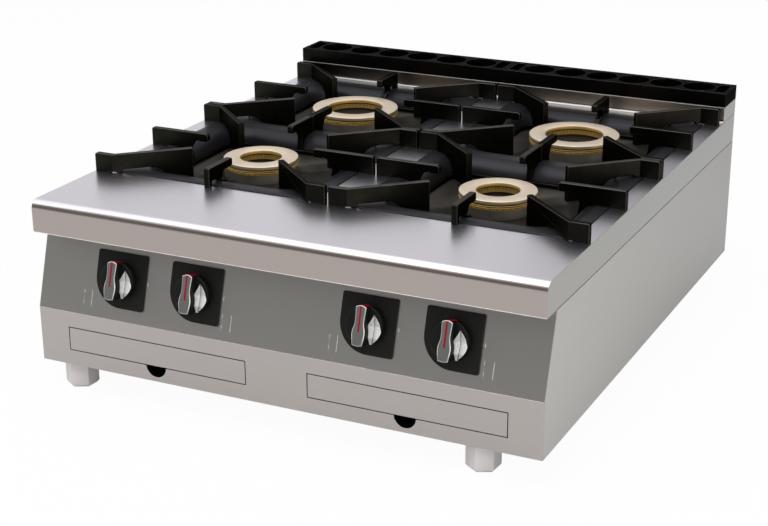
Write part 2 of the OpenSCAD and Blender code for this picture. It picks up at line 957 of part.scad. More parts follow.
// The grip's outline: a bar with a waist and a bulge, drawn up the slope
module grip_outline() {
    polygon([
        [-7.8, 27.8],
        [7.8, 27.8],
        [6.75, 5.4],
        [9.55, -10.6],
        [7.75, -grip_low],
        [-7.75, -grip_low],
        [-9.55, -10.6],
        [-6.75, 5.4]
    ]);
}

module knob(b) {
    color(plastic)
        on_panel(knob_x(b), knob_s)
            difference() {
                union() {
                    translate([0, 0, knob_low])
                        cylinder(r = knob_r, h = knob_skirt_h);
                    intersection() {
                        translate([0, 0, knob_low])
                            cylinder(r = knob_r, h = knob_face - knob_low);
                        linear_extrude(knob_face)
                            grip_outline();
                    }
                }
                translate([0, 0, knob_low - over])
                    cylinder(r = spindle_r + fit, h = bore_top - knob_low + over);
                translate([0, (pointer_top + pointer_bottom)/2, knob_face])
                    cube([pointer_w + 2*pointer_fit, pointer_top - pointer_bottom + 2*pointer_fit,
                        2*pointer_t], center = true);
            }
}

module knob_pointer(b) {
    color([0.7, 0.1, 0.08])
        on_panel(knob_x(b), knob_s)
            translate([-pointer_w/2, pointer_bottom, knob_face - pointer_t])
                cube([pointer_w, pointer_top - pointer_bottom, pointer_t]);
}

module valve_spindle(b) {
    color(brass)
        on_panel(knob_x(b), knob_s)
            translate([0, 0, -spindle_end])
                cylinder(r = spindle_r, h = bore_top + spindle_end);
}

module valve_plug(b) {
    color(brass)
        on_panel(knob_x(b), knob_s)
            translate([0, 0, -valve_front - plug_cap - plug_l])
                difference() {
                    cylinder(r = plug_r, h = plug_l);
                    translate([0, 0, plug_cap])
                        cylinder(r = spindle_r + fit, h = plug_l);
                }
}

// The manifold lies under the valves, each of which stands in it on a short inlet
inlet_r = 6;
valve_mid = valve_front + valve_l/2;
manifold_drop = valve_r + manifold_r + 2;
socket_depth = 4;
manifold_s = knob_s - manifold_drop;
manifold_y = front + manifold_s*sin(panel_tilt) + valve_mid*cos(panel_tilt);
manifold_z = base_z + lower_front_h + manifold_s*cos(panel_tilt) - valve_mid*sin(panel_tilt);

module gas_valve(b) {
    color(brass)
        on_panel(knob_x(b), knob_s)
            difference() {
                union() {
                    translate([0, 0, -valve_front - valve_l])
                        cylinder(r = valve_r, h = valve_l);
                    translate([0, 0, -valve_front])
                        cylinder(r = bonnet_r, h = bonnet_l);
                    translate([0, 0, -valve_front - valve_l - outlet_l])
                        cylinder(r = outlet_r, h = outlet_l);
                    translate([0, 0, -valve_mid])
                        rotate([90, 0, 0])
                            cylinder(r = inlet_r, h = manifold_drop - manifold_r + socket_depth);
                }
                translate([0, 0, -valve_front - plug_cap - plug_l - fit])
                    cylinder(r = plug_r + fit, h = plug_l + 2*fit);
                translate([0, 0, -valve_front - plug_cap - over])
                    cylinder(r = spindle_r + fit, h = plug_cap + bonnet_l + 2*over);
                translate([0, 0, -valve_front - valve_l - outlet_l - over])
                    cylinder(r = pipe_r - 1, h = valve_l - plug_cap - plug_l + outlet_l);
            }
}

manifold_bore = manifold_r - 2.65;
manifold_end = outer_knob_x + 30;
bend_r = 2.5*manifold_r;

// One straight length or quarter bend of the manifold, as wide as its radius says
module manifold_route(r) {
    run_y = inlet_y - manifold_y;
    drop = manifold_z - base_z;
    translate([-manifold_end, manifold_y, manifold_z])
        rotate([0, 90, 0])
            cylinder(r = r, h = inlet_x - bend_r + manifold_end);
    translate([inlet_x - bend_r, manifold_y + bend_r, manifold_z])
        rotate([0, 0, -90])
            rotate_extrude(angle = 90)
                translate([bend_r, 0])
                    circle(r);
    translate([inlet_x, manifold_y + bend_r, manifold_z])
        rotate([-90, 0, 0])
            cylinder(r = r, h = run_y - 2*bend_r);
    translate([inlet_x, inlet_y - bend_r, manifold_z - bend_r])
        rotate([90, 0, 90])
            rotate_extrude(angle = 90)
                translate([bend_r, 0])
                    circle(r);
    translate([inlet_x, inlet_y, base_z + sheet_t])
        cylinder(r = r, h = drop - bend_r - sheet_t);
}

module gas_manifold() {
    color(steel)
        difference() {
            manifold_route(manifold_r);
            manifold_route(manifold_bore);
            for (b = burners)
                on_panel(knob_x(b), knob_s - valve_r)
                    translate([0, 0, -valve_mid])
                        rotate([90, 0, 0])
                            cylinder(r = inlet_r + fit, h = manifold_drop - valve_r);
            translate([-manifold_end - over, manifold_y, manifold_z])
                rotate([0, 90, 0])
                    cylinder(r = manifold_bore - over, h = over/2);
        }
}

// The inlet below the base: a hexagon and a parallel male thread
module gas_inlet() {
    color(brass)
        translate([inlet_x, inlet_y, base_z])
            difference() {
                union() {
                    translate([0, 0, -inlet_thread_l])
                        cylinder(r = inlet_thread_r, h = inlet_thread_l + sheet_t);
                    translate([0, 0, -inlet_hex_h])
                        cylinder(r = inlet_hex_r, h = inlet_hex_h, $fn = 6);
                }
                translate([0, 0, -inlet_thread_l - over])
                    cylinder(r = manifold_bore, h = inlet_thread_l + sheet_t + 2*over);
            }
}

// A pipe swept along the smooth curve that its control points give
pipe_steps = 20;
pipe_sides = 10;

function curve_at(p, t) = len(p) == 1 ? p[0]
    : curve_at([for (i = [0:len(p) - 2]) (1 - t)*p[i] + t*p[i + 1]], t);
function curve_way(p, t) = let (v = curve_at([for (i = [0:len(p) - 2]) p[i + 1] - p[i]], t)) v/norm(v);
function ring_at(p, t, r) = let (way = curve_way(p, t), level = cross([0, 0, 1], way), u = level/norm(level),
    v = cross(way, u)) [for (i = [0:pipe_sides - 1]) curve_at(p, t)
    + r*cos(i*360/pipe_sides)*u + r*sin(i*360/pipe_sides)*v];

module swept_pipe(p, r) {
    points = [for (k = [0:pipe_steps]) each ring_at(p, k/pipe_steps, r)];
    sides = [for (k = [0:pipe_steps - 1], i = [0:pipe_sides - 1])
        let (a = k*pipe_sides + i, b = k*pipe_sides + (i + 1) % pipe_sides)
        each [[a, b + pipe_sides, b], [a, a + pipe_sides, b + pipe_sides]]];
    first = [for (i = [0:pipe_sides - 1]) i];
    last = [for (i = [0:pipe_sides - 1]) pipe_steps*pipe_sides + pipe_sides - 1 - i];
    polyhedron(points, concat(sides, [first, last]), convexity = 6);
}

// Hexagon and stub of an injector in front of its rail
injector_hex_r = 9;
injector_hex_l = 10;
injector_stub_l = 6;
nozzle_l = 16;

// A valve's outlet and its way into the body
function outlet_at(b) = let (d = valve_front + valve_l + outlet_l) [
    knob_x(b),
    front + knob_s*sin(panel_tilt) + d*cos(panel_tilt),
    base_z + lower_front_h + knob_s*cos(panel_tilt) - d*sin(panel_tilt)
];
outlet_way = [0, cos(panel_tilt), -sin(panel_tilt)];
function injector_at(b) = [b[0]*burner_x, rail_y(b) - sheet_t - injector_hex_l - injector_stub_l, mixer_z];

// A front pipe rises straight to its injector; a rear one first passes beside the front burner's neck
front_pipe_bend = 42;
rear_pipe_bend = 60;

function pipe_route(b) = let (from = outlet_at(b), to = injector_at(b), bend = is_front(b) ? front_pipe_bend
    : rear_pipe_bend) is_front(b)
    ? [from, from + bend*outlet_way, to - [0, 1.4*bend, 0], to]
    : [from, from + bend*outlet_way, from + [0, 3*bend, -bend/3], from + [0, 5*bend, -bend/3],
        to - [0, 2*bend, 0], to - [0, bend, 0], to];

module supply_pipes() {
    color(brass)
        for (b = burners)
            swept_pipe(pipe_route(b), pipe_r);
}

module injectors() {
    color(brass)
        for (b = burners)
            translate([b[0]*burner_x, rail_y(b) - sheet_t, mixer_z])
                rotate([90, 0, 0]) {
                    cylinder(r = injector_hex_r, h = injector_hex_l, $fn = 6);
                    translate([0, 0, injector_hex_l])
                        cylinder(r = pipe_r + 1.5, h = injector_stub_l);
                    translate([0, 0, -nozzle_l/2])
                        cylinder(r = injector_r, h = nozzle_l/2);
                    translate([0, 0, -nozzle_l])
                        cylinder(r1 = injector_r/2, r2 = injector_r, h = nozzle_l/2);
                }
}

// A drip tray: a flush front with a shallow box behind it
tray_side_gap = 5;
tray_box_low = 2;
tray_box_h = 30;

module drip_tray(side) {
    low = base_z + tray_low;
    box_w = tray_w - 2*tray_side_gap;
    color(side_steel)
        translate([side*tray_x, 0, 0])
            union() {
                block([-tray_w/2, front, low], [tray_w/2, front + sheet_t, low + tray_front_h]);
                difference() {
                    block([-box_w/2, front + sheet_t, low + tray_box_low],
                        [box_w/2, front + tray_l, low + tray_box_low + tray_box_h]);
                    block([-box_w/2 + sheet_t, front + sheet_t, low + tray_box_low + sheet_t],
                        [box_w/2 - sheet_t, front + tray_l - sheet_t, low + tray_box_low + tray_box_h + over]);
                }
            }
}

// Folded runners on the base carry the trays' edges and guide their sides
runner_front = 62;
runner_w = 16;
runner_fit = 0.3;
runner_lip_h = 10;

module runner_section() {
    h = tray_low + tray_box_low - sheet_t - runner_fit;
    difference() {
        square([runner_w, h]);
        translate([sheet_t, -over])
            square([runner_w - 2*sheet_t, h - sheet_t + over]);
    }
    translate([runner_w - sheet_t, 0])
        square([sheet_t, h + runner_lip_h]);
}

module tray_runners() {
    box_w = tray_w - 2*tray_side_gap;
    color(side_steel)
        for (side = [-1, 1], edge = [-1, 1])
            translate([side*tray_x, front + runner_front, base_z + sheet_t])
                scale([edge, 1, 1])
                    translate([box_w/2 + tray_gap + sheet_t - runner_w, 0, 0])
                        rotate([90, 0, 0])
                            translate([0, 0, -(tray_l - runner_front)])
                                linear_extrude(tray_l - runner_front)
                                    runner_section();
}

stud_l = 13;

// A hexagonal foot with a chamfered sole, turned by hand on its stud
module foot(b) {
    color(foot_grey)
        translate([foot_x(b), foot_y(b), 0]) rotate(foot_turn) {
            translate([0, 0, foot_chamfer])
                cylinder(r = foot_r, h = foot_h - foot_chamfer, $fn = 6);
            cylinder(r1 = foot_r - foot_chamfer, r2 = foot_r, h = foot_chamfer, $fn = 6);
            translate([0, 0, foot_h])
                cylinder(r = stud_r, h = stud_l);
        }
}

worktop();
side_panel(-1);  // side_panel_left
side_panel(1);  // side_panel_right
rear_panel();
base_panel();
control_panel();
lower_front();
centre_divider();
burner_rails();
flue_riser();
flue_grille(-1);  // flue_grille_left
flue_grille(1);  // flue_grille_right
pan(-1);  // pan_left
pan(1);  // pan_right
burner_body(FL);  // burner_body_fl
burner_body(FR);  // burner_body_fr
burner_body(RL);  // burner_body_rl
burner_body(RR);  // burner_body_rr
burner_ring(FL);  // burner_ring_fl
burner_ring(FR);  // burner_ring_fr
burner_ring(RL);  // burner_ring_rl
burner_ring(RR);  // burner_ring_rr
grate(FL);  // grate_fl
grate(FR);  // grate_fr
grate(RL);  // grate_rl
grate(RR);  // grate_rr
bezels();
gas_valve(FL);  // gas_valve_fl
gas_valve(FR);  // gas_valve_fr
gas_valve(RL);  // gas_valve_rl
gas_valve(RR);  // gas_valve_rr
valve_plug(FL);  // valve_plug_fl
valve_plug(FR);  // valve_plug_fr
valve_plug(RL);  // valve_plug_rl
valve_plug(RR);  // valve_plug_rr
valve_spindle(FL);  // valve_spindle_fl
valve_spindle(FR);  // valve_spindle_fr
valve_spindle(RL);  // valve_spindle_rl
valve_spindle(RR);  // valve_spindle_rr
knob(FL);  // knob_fl
knob(FR);  // knob_fr
knob(RL);  // knob_rl
knob(RR);  // knob_rr
knob_pointer(FL);  // knob_pointer_fl
knob_pointer(FR);  // knob_pointer_fr
knob_pointer(RL);  // knob_pointer_rl
knob_pointer(RR);  // knob_pointer_rr
gas_manifold();
gas_inlet();
supply_pipes();
injectors();
drip_tray(-1);  // drip_tray_left
drip_tray(1);  // drip_tray_right
tray_runners();
foot(FL);  // foot_fl
foot(FR);  // foot_fr
foot(RL);  // foot_rl
foot(RR);  // foot_rr
rear_screws();
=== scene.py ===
import bpy
import bmesh
import json
import math
from mathutils import Matrix, Vector

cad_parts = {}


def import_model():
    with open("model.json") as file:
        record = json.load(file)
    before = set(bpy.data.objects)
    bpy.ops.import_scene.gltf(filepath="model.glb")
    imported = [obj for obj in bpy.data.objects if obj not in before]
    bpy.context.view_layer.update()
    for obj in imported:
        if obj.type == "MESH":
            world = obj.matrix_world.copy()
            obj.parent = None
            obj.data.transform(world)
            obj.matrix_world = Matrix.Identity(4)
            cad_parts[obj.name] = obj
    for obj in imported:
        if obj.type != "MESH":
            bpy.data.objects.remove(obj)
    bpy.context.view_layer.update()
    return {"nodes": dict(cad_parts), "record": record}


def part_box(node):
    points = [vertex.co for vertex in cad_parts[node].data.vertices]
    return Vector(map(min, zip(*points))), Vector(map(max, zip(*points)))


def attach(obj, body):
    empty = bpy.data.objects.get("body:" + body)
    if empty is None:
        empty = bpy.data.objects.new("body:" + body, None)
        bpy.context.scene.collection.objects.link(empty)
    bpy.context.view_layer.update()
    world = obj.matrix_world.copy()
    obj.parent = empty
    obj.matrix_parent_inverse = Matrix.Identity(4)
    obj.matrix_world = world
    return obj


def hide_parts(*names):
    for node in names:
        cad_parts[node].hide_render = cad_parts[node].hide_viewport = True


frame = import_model()
MM = 0.001

# Sizes of the range in millimetres, as in the part's source
BODY_W, BODY_D, BODY_H, FOOT_H = 800.0, 900.0, 250.0, 43.0
NOSE_H, SETBACK, LOWER_H = 48.5, 36.5, 84.69
TILT = math.atan(SETBACK / (BODY_H - NOSE_H - LOWER_H))
KNOB_S, KNOB_FACE, GRIP_LOW = 59.75, 30.0, 27.6
FRONT = (KNOB_FACE * math.cos(TILT) - (KNOB_S - GRIP_LOW) * math.sin(TILT) - BODY_D) / 2
TOP = FOOT_H + BODY_H
SKIRT = TOP - NOSE_H
NEAR_Y, FAR_Y = FRONT + 322.5, FRONT + 650.0

# Each burner's centre and its ring's outer and inner radius
BURNERS = {"fl": (-200.0, NEAR_Y, 58.5, 32.5), "fr": (200.0, NEAR_Y, 58.5, 32.5),
           "rl": (-200.0, FAR_Y, 73.5, 47.0), "rr": (200.0, FAR_Y, 73.5, 47.0)}
KNOB_X = {"fl": -136.5, "fr": 136.5, "rl": -262.5, "rr": 262.5}
RING_TOP, RING_H = 4.0, 14.5


def new_material(name):
    m = bpy.data.materials.new(name)
    m.use_nodes = True
    return m, m.node_tree, shader_of(m)


def shader_of(m):
    return m.node_tree.nodes["Principled BSDF"]


def add(nt, kind, **values):
    """A new node, with its inputs and properties set by name."""
    n = nt.nodes.new(kind)
    for k, v in values.items():
        if k in n.inputs:
            n.inputs[k].default_value = v
        else:
            setattr(n, k, v)
    return n


def link(nt, a, b):
    nt.links.new(a, b)


def feed(nt, socket, value):
    """Sets an input to a number or colour, or links it to another node's output."""
    if isinstance(value, bpy.types.NodeSocket):
        link(nt, value, socket)
    else:
        socket.default_value = value


def coords(nt, scale=(1.0, 1.0, 1.0)):
    tc = add(nt, "ShaderNodeTexCoord")
    mp = add(nt, "ShaderNodeMapping", Scale=scale)
    link(nt, tc.outputs["Object"], mp.inputs["Vector"])
    return mp.outputs["Vector"]


def axis_of(nt, vec, axis):
    """One coordinate of a vector."""
    sep = add(nt, "ShaderNodeSeparateXYZ")
    link(nt, vec, sep.inputs[0])
    return sep.outputs[axis]


def noise(nt, vec, scale, detail=3.0, rough=0.5):
    n = add(nt, "ShaderNodeTexNoise", Scale=scale, Detail=detail, Roughness=rough)
    link(nt, vec, n.inputs["Vector"])
    return n.outputs["Fac"]


def ramp(nt, fac, stops):
    r = add(nt, "ShaderNodeValToRGB")
    e = r.color_ramp.elements
    while len(e) < len(stops):
        e.new(0.5)
    for el, (p, c) in zip(e, stops):
        el.position = p
        el.color = (*c, 1)
    link(nt, fac, r.inputs["Fac"])
    return r.outputs["Color"]


def remap(nt, value, start, end, first=0.0, last=1.0, kind="LINEAR"):
    """Runs from first to last while the value runs from start to end."""
    n = add(nt, "ShaderNodeMapRange", interpolation_type=kind)
    link(nt, value, n.inputs["Value"])
    for key, v in (("From Min", start), ("From Max", end), ("To Min", first), ("To Max", last)):
        n.inputs[key].default_value = v
    return n.outputs[0]


def reckon(nt, operation, *values):
    """A sum on numbers and other nodes' outputs."""
    n = add(nt, "ShaderNodeMath", operation=operation)
    for socket, v in zip(n.inputs, values):
        feed(nt, socket, v)
    return n.outputs[0]


def mix_color(nt, fac, a, b):
    n = add(nt, "ShaderNodeMix", data_type="RGBA")
    for key, v in (("Factor", fac), ("A", a), ("B", b)):
        feed(nt, n.inputs[key], v)
    return n.outputs["Result"]


def mix_shader(nt, fac, a, b):
    n = add(nt, "ShaderNodeMixShader")
    for socket, v in zip(n.inputs, (fac, a, b)):
        link(nt, v, socket)
    return n.outputs[0]


def grey(v):
    return (v, v, v)


def spread(c, f):
    return tuple(min(1.0, x * f) for x in c)


def vary(nt, fac, socket, low, high, start=0.3, end=0.7):
    """Lets an input drift between two colours with a noise."""
    link(nt, ramp(nt, fac, [(start, low), (end, high)]), socket)


def bump(nt, fac, bsdf, strength, distance, before=None):
    b = add(nt, "ShaderNodeBump", Strength=strength, Distance=distance)
    link(nt, fac, b.inputs["Height"])
    if before is not None:
        link(nt, before, b.inputs["Normal"])
    link(nt, b.outputs["Normal"], bsdf.inputs["Normal"])
    return b.outputs["Normal"]


def steel(name, color, rough, grain_axis=0, grain=0.015, relief=0.012):
    """Satin stainless sheet: fine drawn grain along one axis and slow changes of tone."""
    m, nt, b = new_material(name)
    scale = [420.0, 420.0, 420.0]
    scale[grain_axis] = 2.2
    lines = noise(nt, coords(nt, scale), 1.0, 4.0, 0.6)
    cloud = noise(nt, coords(nt, (3.0, 3.0, 3.0)), 1.0, 3.0, 0.55)
    mixed = reckon(nt, "MULTIPLY_ADD", lines, 0.6, reckon(nt, "MULTIPLY", cloud, 0.4))
    vary(nt, mixed, b.inputs["Base Color"], spread(color, 1 - grain), spread(color, 1 + grain), 0.25, 0.75)
    vary(nt, mixed, b.inputs["Roughness"], grey(rough + 0.015), grey(rough - 0.015), 0.25, 0.75)
    b.inputs["Metallic"].default_value = 1.0
    bump(nt, lines, b, relief, 0.00003)
    return m


def cast(name, color, rough, grazing):
    """Smooth cast iron under a thin black coat, with a fine sand grain and slow unevenness."""
    m, nt, b = new_material(name)
    vec = coords(nt)
    fine = noise(nt, vec, 900.0, 4.0, 0.65)
    coarse = noise(nt, vec, 45.0, 4.0, 0.6)
    vary(nt, coarse, b.inputs["Base Color"], spread(color, 0.85), spread(color, 1.2), 0.3, 0.72)
    vary(nt, coarse, b.inputs["Roughness"], grey(rough + 0.05), grey(rough - 0.04))
    b.inputs["Metallic"].default_value = 1.0
    b.inputs["Specular Tint"].default_value = (*grey(grazing), 1)
    first = bump(nt, coarse, b, 0.08, 0.0003)
    bump(nt, fine, b, 0.12, 0.00005, first)
    return m


def enamel_mat(name, tone=1.0, rough=0.38, metal=0.7):
    """Black vitreous enamel with a soft gloss and a faint orange peel, warmer and lighter down on the floor than on
    the cooler shoulders.
    """
    m, nt, b = new_material(name)
    vec = coords(nt)
    peel = noise(nt, vec, 160.0, 2.0, 0.5)
    cloud = noise(nt, vec, 9.0, 4.0, 0.6)
    deep = remap(nt, axis_of(nt, vec, "Z"), (TOP - 12.0) * MM, (TOP - 23.0) * MM)
    cold = ramp(nt, cloud, [(0.3, spread((0.023, 0.023, 0.026), tone)), (0.7, spread((0.029, 0.029, 0.033), tone))])
    warm = ramp(nt, cloud, [(0.3, spread((0.042, 0.038, 0.033), tone)), (0.7, spread((0.053, 0.048, 0.042), tone))])
    link(nt, mix_color(nt, deep, cold, warm), b.inputs["Base Color"])
    vary(nt, cloud, b.inputs["Roughness"], grey(rough - 0.04), grey(rough + 0.04))
    b.inputs["Metallic"].default_value = metal
    b.inputs["Specular IOR Level"].default_value = 0.1
    b.inputs["Specular Tint"].default_value = (*grey(0.45), 1)
    bump(nt, peel, b, 0.03, 0.0002)
    return m


def lathe_brass(name, color, rough, metal=1.0):
    """Turned brass: fine rings about the vertical axis of each burner ring, faintly tarnished in patches."""
    m, nt, b = new_material(name)
    lines = noise(nt, coords(nt, (60.0, 60.0, 1400.0)), 1.0, 3.0, 0.6)
    cloud = noise(nt, coords(nt), 38.0, 4.0, 0.6)
    vary(nt, cloud, b.inputs["Base Color"], spread(color, 0.88), spread(color, 1.08))
    vary(nt, cloud, b.inputs["Roughness"], grey(rough + 0.05), grey(rough - 0.04))
    b.inputs["Metallic"].default_value = metal
    bump(nt, lines, b, 0.12, 0.00005)
    return m


def plastic_mat(name, color, rough, spec=0.5, grain=700.0, depth=0.03):
    """Moulded plastic with a fine spark-eroded grain."""
    m, nt, b = new_material(name)
    vec = coords(nt)
    fine = noise(nt, vec, grain, 3.0, 0.6)
    cloud = noise(nt, vec, 25.0, 2.0, 0.5)
    vary(nt, cloud, b.inputs["Base Color"], spread(color, 0.93), spread(color, 1.07))
    vary(nt, fine, b.inputs["Roughness"], grey(rough + 0.03), grey(rough - 0.03))
    b.inputs["Specular IOR Level"].default_value = spec
    bump(nt, fine, b, 0.15, depth * MM)
    return m


def plated(name, color, rough, metal=1.0):
    """Bright plating with faint clouds in its gloss."""
    m, nt, b = new_material(name)
    cloud = noise(nt, coords(nt), 60.0, 3.0, 0.5)
    vary(nt, cloud, b.inputs["Base Color"], spread(color, 0.96), spread(color, 1.04))
    vary(nt, cloud, b.inputs["Roughness"], grey(rough + 0.02), grey(max(0.02, rough - 0.02)))
    b.inputs["Metallic"].default_value = metal
    return m


def leaf_mat():
    """Bright plating on a knob's leaf, with a painted reflection: palest across its middle, greyer towards both
    points.
    """
    m = plated("leaf_chrome", (0.95, 0.94, 0.89), 0.28, 0.3)
    nt = m.node_tree
    middle = FOOT_H + LOWER_H + KNOB_S * math.cos(TILT)
    up = remap(nt, axis_of(nt, coords(nt), "Z"), (middle - 18.0) * MM, (middle + 16.0) * MM)
    pale = (0.97, 0.965, 0.93)
    painted_reflection_tones = [(0.0, (0.46, 0.455, 0.44)), (0.2, (0.60, 0.595, 0.57)), (0.28, pale), (0.66, pale),
             (0.74, (0.74, 0.735, 0.71)), (1.0, (0.62, 0.615, 0.59))]
    link(nt, ramp(nt, up, painted_reflection_tones), shader_of(m).inputs["Base Color"])
    return m


def painted_light_ramp(m, axis, start, end, first, last):
    """Paints light and shade into a sheet's colour: scales it evenly along one axis, from one factor at start to
    another at end.
    """
    nt = m.node_tree
    base = shader_of(m).inputs["Base Color"]
    factor = remap(nt, axis_of(nt, coords(nt), axis), start, end, first, last)
    scaled = add(nt, "ShaderNodeVectorMath", operation="SCALE")
    link(nt, base.links[0].from_socket, scaled.inputs[0])
    link(nt, factor, scaled.inputs["Scale"])
    link(nt, scaled.outputs[0], base)
    return m


MATS = {
    "worktop_steel": steel("worktop_steel", (0.563, 0.545, 0.589), 0.29, 0, 0.008, 0.002),
    # side_steel: painted light, lighter at the front and darker towards the back
    "side_steel": painted_light_ramp(steel("side_steel", (0.50, 0.486, 0.458), 0.34, 1), "Y", -0.43, 0.44, 1.14, 0.885),
    "front_steel": steel("front_steel", (0.488, 0.450, 0.430), 0.34, 0),
    # nose_steel and skirt_steel are darker copies of the worktop's steel: painted shade on the nose and skirt, with
    # painted light fading along the skirt
    "nose_steel": steel("nose_steel", (0.425, 0.372, 0.347), 0.15, 0, 0.015, 0.004),
    "skirt_steel": painted_light_ramp(steel("skirt_steel", (0.385, 0.378, 0.350), 0.15, 1, 0.015, 0.004),
                        "Y", -0.43, 0.44, 1.05, 0.95),
    "trim_steel": steel("trim_steel", (0.30, 0.29, 0.278), 0.3, 0, 0.01, 0.003),
    "panel_steel": steel("panel_steel", (0.455, 0.44, 0.415), 0.34, 0),
    # riser_steel: painted reflection, a brown that is near black at the left and grows bright to the right
    "riser_steel": painted_light_ramp(steel("riser_steel", (0.30, 0.262, 0.215), 0.3, 0, 0.01, 0.003),
                        "X", -0.36, 0.25, 0.12, 2.3),
    "enamel": enamel_mat("enamel"),
    # enamel_flange: a darker copy of the enamel, painted shade on the pans' flange
    "enamel_flange": enamel_mat("enamel_flange", 0.8, 0.38, 0.25),
    "cast_iron": cast("cast_iron", (0.020, 0.0195, 0.0155), 0.34, 0.42),
    # worn_lit_edge: lighter iron on rims and fin tops, for wear and a painted highlight
    "worn_lit_edge": cast("worn_lit_edge", (0.055, 0.054, 0.051), 0.42, 0.55),
    # frame_iron: a darker copy of the cast iron, painted shade down on the well floor
    "frame_iron": cast("frame_iron", (0.012, 0.011, 0.010), 0.45, 0.3),
    "flue_iron": cast("flue_iron", (0.013, 0.0125, 0.0115), 0.36, 0.3),
    # flue_top and flue_edge: lighter copies of the flue iron, painted highlights on its top and rims
    "flue_top": cast("flue_top", (0.033, 0.033, 0.033), 0.4, 0.3),
    "flue_edge": cast("flue_edge", (0.13, 0.13, 0.125), 0.42, 0.6),
    "burner_iron": cast("burner_iron", (0.30, 0.275, 0.245), 0.42, 0.5),
    # throat_iron: a darker copy of the burner iron, painted shade down inside the burner
    "throat_iron": cast("throat_iron", (0.05, 0.043, 0.034), 0.5, 0.4),
    # The rings' pale top and deeper gold sides are one brass: partly a turned finish, partly a painted reflection
    "ring_band": lathe_brass("ring_band", (0.56, 0.45, 0.29), 0.42, 0.8),
    "ring_brass": lathe_brass("ring_brass", (0.58, 0.375, 0.105), 0.36, 0.6),
    "ring_top": lathe_brass("ring_top", (0.58, 0.495, 0.40), 0.5),
    # soot_and_shade: near-black brown under the ring's ledges, in its grooves and ports: soot and painted shade
    "soot_and_shade": plastic_mat("soot_and_shade", (0.035, 0.022, 0.010), 0.6, 0.2),
    "gap_shade": plastic_mat("gap_shade", (0.012, 0.011, 0.010), 0.7, 0.1),
    "brass": lathe_brass("brass", (0.66, 0.47, 0.2), 0.3),
    "black_plastic": plastic_mat("black_plastic", (0.0075, 0.0075, 0.007), 0.5, 0.15),
    "bezel_plastic": plastic_mat("bezel_plastic", (0.0105, 0.0102, 0.0085), 0.4, 0.2),
    "pointer_red": plastic_mat("pointer_red", (0.28, 0.003, 0.013), 0.5, 0.2, 500.0, 0.01),
    "pipe_steel": steel("pipe_steel", (0.5, 0.5, 0.5), 0.3, 1),
    "pipe_aluminium": steel("pipe_aluminium", (0.68, 0.68, 0.69), 0.32, 1),
    "foot_grey": plastic_mat("foot_grey", (0.765, 0.722, 0.703), 0.45, 0.4, 600.0, 0.02),
    "leaf_chrome": leaf_mat(),
    "grip_grey": plated("grip_grey", (0.27, 0.268, 0.262), 0.4),
    "hem_highlight": plated("hem_highlight", (0.86, 0.81, 0.78), 0.35, 0.4),
    "mark": plastic_mat("mark", (0.60, 0.60, 0.57), 0.5, 0.3, 900.0, 0.005),
}

RECORD_SLOT = {s["node"]: s["material_slot"] for s in frame["record"]["subparts"]}
BODY_OF = {n: b for b, ns in frame["record"]["behaviour"]["bodies"].items() for n in ns}

for name, ob in frame["nodes"].items():
    ob.data.materials.clear()
    ob.data.materials.append(MATS[RECORD_SLOT[name]])


def finish_mesh(name, bm, body, mats, replaces=(), sharp=35.0, recalc=True):
    """Makes an object of a mesh in the making and gives it its body, slot, materials and replaced nodes."""
    if recalc:
        bmesh.ops.recalc_face_normals(bm, faces=bm.faces)
    me = bpy.data.meshes.new(name)
    bm.to_mesh(me)
    bm.free()
    me.shade_smooth()
    me.set_sharp_from_angle(angle=math.radians(sharp))
    for mt in mats:
        me.materials.append(MATS[mt])
    ob = bpy.data.objects.new(name, me)
    bpy.context.scene.collection.objects.link(ob)
    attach(ob, body)
    if replaces:
        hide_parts(*replaces)
    return ob


def weighted(ob):
    """Keeps broad faces flat to the eye beside rounded edges."""
    ob.modifiers.new("weighted", "WEIGHTED_NORMAL").keep_sharp = True


def copied(node, width, segments=2, angle=30.0, mats=None, sharp=35.0, mat_of=None, rim=0):
    """A node's own shape with its flat faces made whole and its sharp edges rounded."""
    me = frame["nodes"][node].data
    bm = bmesh.new()
    bm.from_mesh(me)
    bmesh.ops.remove_doubles(bm, verts=bm.verts, dist=2e-6)
    bmesh.ops.dissolve_limit(bm, angle_limit=math.radians(0.4), use_dissolve_boundaries=False,
                             verts=bm.verts, edges=bm.edges)
    limit = math.radians(angle)
    edges = [e for e in bm.edges if len(e.link_faces) == 2 and e.calc_face_angle(0) > limit]
    if edges and width:
        done = bmesh.ops.bevel(bm, geom=edges, offset=width * MM, segments=segments, profile=0.5, affect="EDGES",
                               clamp_overlap=True)
        for f in done["faces"]:
            f.material_index = rim
    if mat_of:
        bm.normal_update()
        for f in bm.faces:
            f.material_index = mat_of(f)
    slot = RECORD_SLOT[node]
    weighted(finish_mesh(node + ".shape", bm, BODY_OF[node], mats or [slot], (node,), sharp))


def lathe(bm, profile, centre, n, materials):
    """Turns a closed profile of (radius, height) about the vertical axis at centre, one material to each run."""
    rings = []
    cx, cy, cz = centre
    for k in range(n):
        a = 2 * math.pi * k / n
        rings.append([bm.verts.new(((cx + r * math.cos(a)) * MM, (cy + r * math.sin(a)) * MM, (cz + z) * MM))
                      for r, z in profile])
    for k in range(n):
        a, b = rings[k], rings[(k + 1) % n]
        for i in range(len(profile)):
            j = (i + 1) % len(profile)
            bm.faces.new((a[i], b[i], b[j], a[j])).material_index = materials[i]


def round_loop(w, d, r, per_corner=12):
    """Points of a rounded rectangle, anticlockwise from the right."""
    pts = []
    for cx, cy, a0 in ((1, 1, 0), (-1, 1, 90), (-1, -1, 180), (1, -1, 270)):
        for k in range(per_corner + 1):
            a = math.radians(a0 + 90.0 * k / per_corner)
            pts.append((cx * (w / 2 - r) + r * math.cos(a), cy * (d / 2 - r) + r * math.sin(a)))
    return pts


